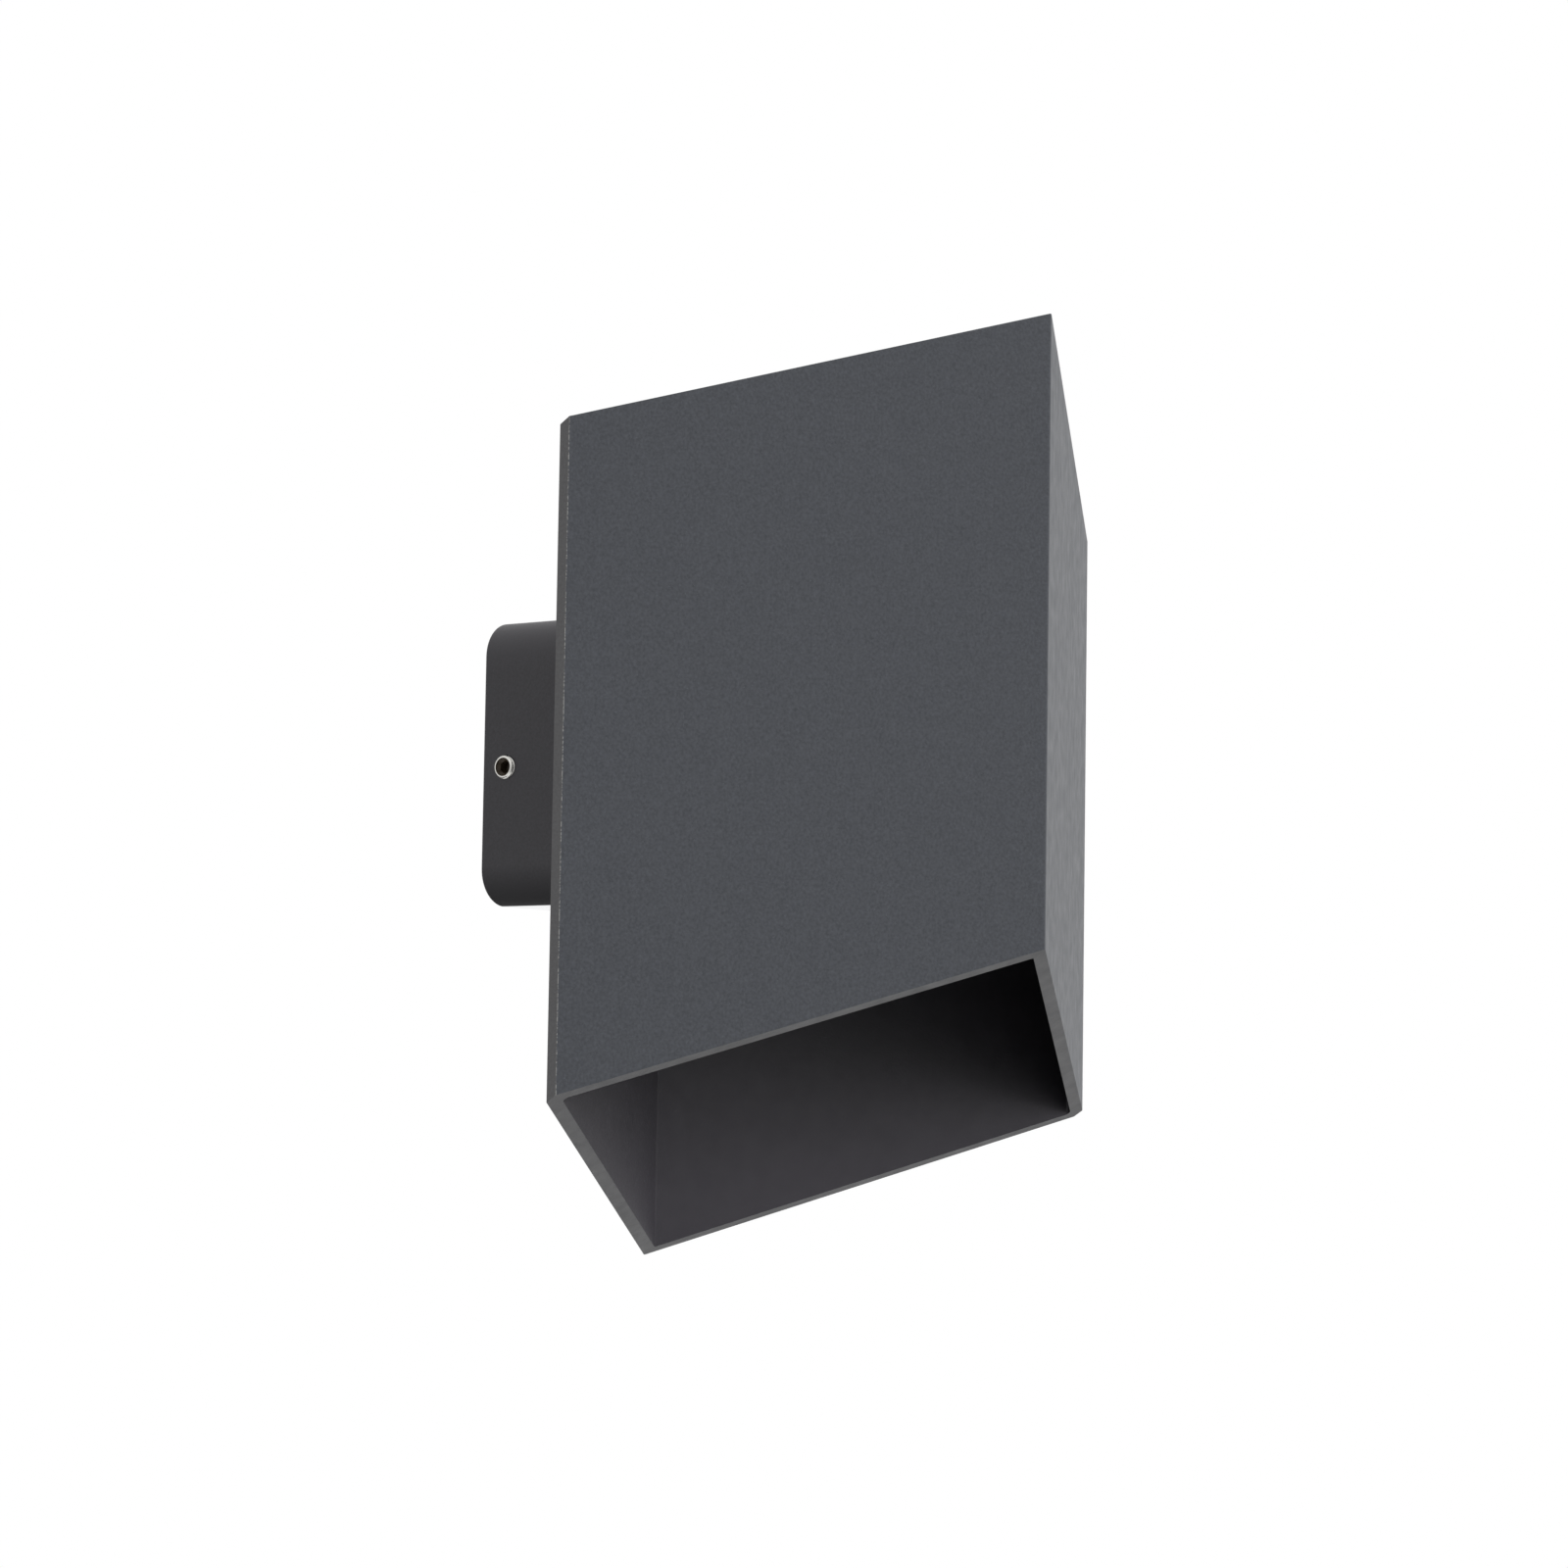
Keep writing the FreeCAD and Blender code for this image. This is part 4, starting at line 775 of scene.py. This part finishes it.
def set_screws(node, tree, toward_at, shape_of, pitch, spin, material, body):
    """Replaces a node's screws by threaded ones on the same places. toward_at gives the direction in which a
    screw's head looks from the side it lies on, and shape_of its shape from the radii of head and shank."""
    measured = []
    for spots in parts_of(node):
        toward = toward_at(sum(spot.x for spot in spots))
        measured.append((toward, *measure(spots, toward)))
    _, _, head, shank, total = measured[0]
    shape = shape_of(head, shank)
    blank = screw_blank(f"blank_{node}", shape, shank, total, pitch)
    points = bpy.data.meshes.new(f"places of {node}")
    points.from_pydata([place for _, place, *_ in measured], [], [])
    turns = points.attributes.new("turn", "FLOAT_VECTOR", "POINT")
    for item, (toward, *_) in zip(turns.data, measured):
        item.vector = toward.to_track_quat("Z", "Y").to_euler()

    piece = bpy.data.objects.new(f"threaded_{node}", points)
    bpy.context.scene.collection.objects.link(piece)
    run_tree(piece, tree, {
        "Screw": blank, "Pitch": pitch, "Depth": sizes().thread_share * pitch, "Shank": shank,
        "Start": shape.thread, "Phase": sizes().thread_start, "Spin": spin, "Material": material})
    bpy.data.objects.remove(blank)
    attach(piece, body)
    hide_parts(node)


def grub_steel(side, middle):
    """Bright steel of a grub screw, with old dark grease and painted shade in its socket."""
    made, look = Finish(f"stainless {side} grub screw"), finishes()
    reach = made.radius(middle, 0)
    rings = made.math("SINE", reach * (2 * pi / look.grub_rings))
    smear = made.noise(0.9 * MM, detail=3.0)
    # the socket is painted dark brown: old grease, and painted shade in the hollow
    socket = reach.below(sizes().grub_mouth / 2 + GREASE_SHADE_MARGIN)
    steel = made.mottled(smear, look.stainless, dark=0.9, pale=1.2)
    grease = made.mottled(made.noise(0.5 * MM, detail=3.0), look.grease, dark=0.5, pale=1.8)
    made.set(Base_Color=made.blend(socket, steel, grease), Metallic=1.0 - socket,
             Roughness=0.2 + 0.14 * smear + 0.3 * socket)
    made.bump(rings * (1.0 - socket), 0.003 * MM)
    return made.material


# ---- operators ----

class WALLLIGHT_OT_housing(bpy.types.Operator):
    """Coats the tube and the mount box."""

    bl_idname = "wall_light.housing"
    bl_label = "Coat the tube and the mount box"

    def execute(self, context):
        dress("diamond_tube", tube_coat())
        dress("mount_cover", mount_coat())
        return {"FINISHED"}


class WALLLIGHT_OT_grub_screws(bpy.types.Operator):
    """Makes the two threaded grub screws in the sides of the mount box."""

    bl_idname = "wall_light.grub_screws"
    bl_label = "Make the grub screws"

    def execute(self, context):
        tree, look = screw_tree(), sizes()
        for side, sign in SIDES.items():
            node = f"grub_screw_{side}"
            low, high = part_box(node)
            set_screws(node, tree, lambda across: Vector((sign, 0.0, 0.0)), grub_shape, look.grub_pitch, 0.0,
                       grub_steel(side, (low + high) / 2), f"{side}_grub")
        return {"FINISHED"}


class WALLLIGHT_OT_light_engines(bpy.types.Operator):
    """Finishes the carrier, the driver and, for each direction, the pieces from the board to the frame."""

    bl_idname = "wall_light.light_engines"
    bl_label = "Finish the light engines"

    def execute(self, context):
        dress("lamp_carrier", black_casting())
        dress("led_driver", driver_case())
        mirror, sheet, seal, clear = metallised(), black_frame(), silicone(), window_glass()
        for level in LEVELS:
            dress(f"led_board_{level}", light_board(level))
            dress(f"led_chip_{level}", light_source(level))
            dress(f"reflector_{level}", mirror)
            dress(f"glass_gasket_{level}", seal)
            dress(f"window_glass_{level}", clear)
            dress(f"glass_frame_{level}", sheet)
        return {"FINISHED"}


class WALLLIGHT_OT_screws(bpy.types.Operator):
    """Makes the tie, board, frame, terminal and earth screws with their threads."""

    bl_idname = "wall_light.screws"
    bl_label = "Make the small screws"

    def execute(self, context):
        plated, tree, look = zinc_plate(), screw_tree(), sizes()
        lean, any_turn = look.side_angle / 2, 2 * pi
        pan, sunk = pan_shape(look.screw_socket), countersunk_shape(look.screw_socket)

        def to_wall(across):
            return Vector(((1 if across > 0 else -1) * sin(lean), cos(lean), 0.0))

        def to_room(across):
            return Vector((0.0, -1.0, 0.0))

        for node, toward_at, shape_of, pitch, body in (
                ("tie_screws", to_wall, pan, look.screw_pitch, "lamp"),
                ("terminal_screws", to_room, pan_shape(look.clamp_socket), look.clamp_pitch, "wall_side"),
                ("earth_screw", to_room, pan_shape(look.earth_socket), look.earth_pitch, "wall_side")):
            set_screws(node, tree, toward_at, shape_of, pitch, any_turn, plated, body)
        for level, sign in LEVELS.items():
            def outward(across):
                return Vector((0.0, 0.0, sign))

            set_screws(f"board_screws_{level}", tree, outward, pan, look.screw_pitch, any_turn, plated,
                       "lamp")
            set_screws(f"frame_screws_{level}", tree, outward, sunk, look.screw_pitch, any_turn,
                       turned_stainless(level), "lamp")
        return {"FINISHED"}


class WALLLIGHT_OT_wall_side(bpy.types.Operator):
    """Finishes the bracket, the seal, the grommet and bush, the earth washer and the terminal block."""

    bl_idname = "wall_light.wall_side"
    bl_label = "Finish the wall side"

    def execute(self, context):
        plated, soft = zinc_plate(), rubber()
        dress("wall_bracket", plated)
        dress("earth_washer", plated)
        for node in ("wall_seal", "cable_grommet", "lead_bush"):
            dress(node, soft)
        dress("terminal_block", nylon())
        dress("terminal_clamps", brass())
        return {"FINISHED"}


def add_lamp(name, place, wide, watts):
    """A soft square lamp that faces the middle of the tube."""
    data = bpy.data.lights.new(name, "AREA")
    data.energy, data.size = watts, wide
    lamp = bpy.data.objects.new(name, data)
    lamp.location = LAMP_CENTRE + Vector(place)
    lamp.rotation_euler = (-Vector(place)).to_track_quat("-Z", "Y").to_euler()
    lamp.visible_glossy = False
    bpy.context.scene.collection.objects.link(lamp)


def add_camera(stage):
    """The camera at the photograph's place."""
    turn, lift = stage.camera_azimuth, -stage.camera_elevation
    right = Vector((cos(turn), sin(turn), 0.0))
    ahead = Vector((-sin(turn) * cos(lift), cos(turn) * cos(lift), sin(lift)))
    down = -right.cross(ahead)
    roll = stage.camera_roll
    right, down = right * cos(roll) - down * sin(roll), right * sin(roll) + down * cos(roll)
    data = bpy.data.cameras.new("camera")
    data.sensor_width, data.lens = SENSOR_WIDTH, stage.camera_lens
    camera = bpy.data.objects.new("camera", data)
    place = (LAMP_CENTRE - ahead * stage.camera_distance
             - right * stage.camera_across - down * stage.camera_down)
    camera.matrix_world = Matrix.Translation(place) @ Matrix((right, -down, -ahead)).transposed().to_4x4()
    bpy.context.scene.collection.objects.link(camera)
    bpy.context.scene.camera = camera


def in_view(make):
    """One on the rays that show the background itself, in a mirror or through glass."""
    path = make.node("ShaderNodeLightPath").outputs
    seen = make.math("MAXIMUM", path["Is Camera Ray"], path["Is Transmission Ray"])
    return make.math("MAXIMUM", seen, path["Is Glossy Ray"])


def add_floor(stage):
    """A round pale floor, well below the light, that glows white where it is seen."""
    def build(work):
        bmesh.ops.create_circle(work, cap_ends=True, radius=stage.floor_radius, segments=FLOOR_SIDES)
        bmesh.ops.translate(work, verts=work.verts, vec=LAMP_CENTRE - Vector((0.0, 0.0, stage.floor_drop)))

    floor = from_faces("floor", build)
    material = bpy.data.materials.new("pale floor")
    material.use_nodes = True
    make = Tree(material.node_tree)
    shader = next(n for n in make.tree.nodes if n.type == "BSDF_PRINCIPLED")
    make.feed(shader.inputs["Base Color"], (*[stage.floor_tone] * 3, 1.0))
    make.feed(shader.inputs["Roughness"], FLOOR_ROUGH)
    make.feed(shader.inputs["Emission Color"], (1.0, 1.0, 1.0, 1.0))
    make.feed(shader.inputs["Emission Strength"], in_view(make) * stage.floor_glow)
    floor.data.materials.append(material)


def add_world(stage):
    """White where it is seen, mirrored or seen through, and elsewhere a soft light, stronger from above."""
    world = bpy.data.worlds.new("white room")
    world.use_nodes = True
    bpy.context.scene.world = world
    make = Tree(world.node_tree)
    back = next(n for n in make.tree.nodes if n.type == "BACKGROUND")
    seen = in_view(make)
    make.feed(back.inputs["Color"], (1.0, 1.0, 1.0, 1.0))
    lift = make.node("ShaderNodeSeparateXYZ", None, {0: make.node("ShaderNodeTexCoord").outputs["Generated"]})
    dome = (make.value(lift.outputs[2]) * stage.room_tilt + 1.0) * stage.room_light
    make.feed(back.inputs["Strength"], seen + (1.0 - seen) * dome)


class WALLLIGHT_OT_stage(bpy.types.Operator):
    """Sets the white room, the floor, the lamp and the camera."""

    bl_idname = "wall_light.stage"
    bl_label = "Set the stage"

    def execute(self, context):
        stage = context.scene.wall_light_stage
        context.scene.view_settings.view_transform = "Standard"
        add_world(stage)
        add_floor(stage)
        add_lamp("front lamp", stage.lamp_place, stage.lamp_wide, stage.lamp_power)
        add_camera(stage)
        return {"FINISHED"}


OPERATORS = (WALLLIGHT_OT_housing, WALLLIGHT_OT_grub_screws, WALLLIGHT_OT_light_engines, WALLLIGHT_OT_screws,
             WALLLIGHT_OT_wall_side, WALLLIGHT_OT_stage)
GROUPS = {"wall_light_finishes": WallLightFinishes, "wall_light_sizes": WallLightSizes,
          "wall_light_stage": WallLightStage}


class WALLLIGHT_PT_panel(bpy.types.Panel):
    """Lists the steps that dress the light, and their values."""

    bl_idname = "WALLLIGHT_PT_panel"
    bl_label = "Wall light"
    bl_space_type = "VIEW_3D"
    bl_region_type = "UI"
    bl_category = "Wall light"

    def draw(self, context):
        for operator in OPERATORS:
            self.layout.operator(operator.bl_idname)
        for name, group in GROUPS.items():
            box = self.layout.box()
            for key in group.__annotations__:
                box.prop(getattr(context.scene, name), key)


def register():
    for item in (*GROUPS.values(), *OPERATORS, WALLLIGHT_PT_panel):
        bpy.utils.register_class(item)
    for name, group in GROUPS.items():
        setattr(bpy.types.Scene, name, bpy.props.PointerProperty(type=group))


def unregister():
    for name in GROUPS:
        delattr(bpy.types.Scene, name)
    for item in (WALLLIGHT_PT_panel, *reversed(OPERATORS), *reversed(GROUPS.values())):
        bpy.utils.unregister_class(item)


def main():
    """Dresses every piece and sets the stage."""
    register()
    for operator in OPERATORS:
        group, name = operator.bl_idname.split(".")
        getattr(getattr(bpy.ops, group), name)()


if __name__ == "__main__":
    main()
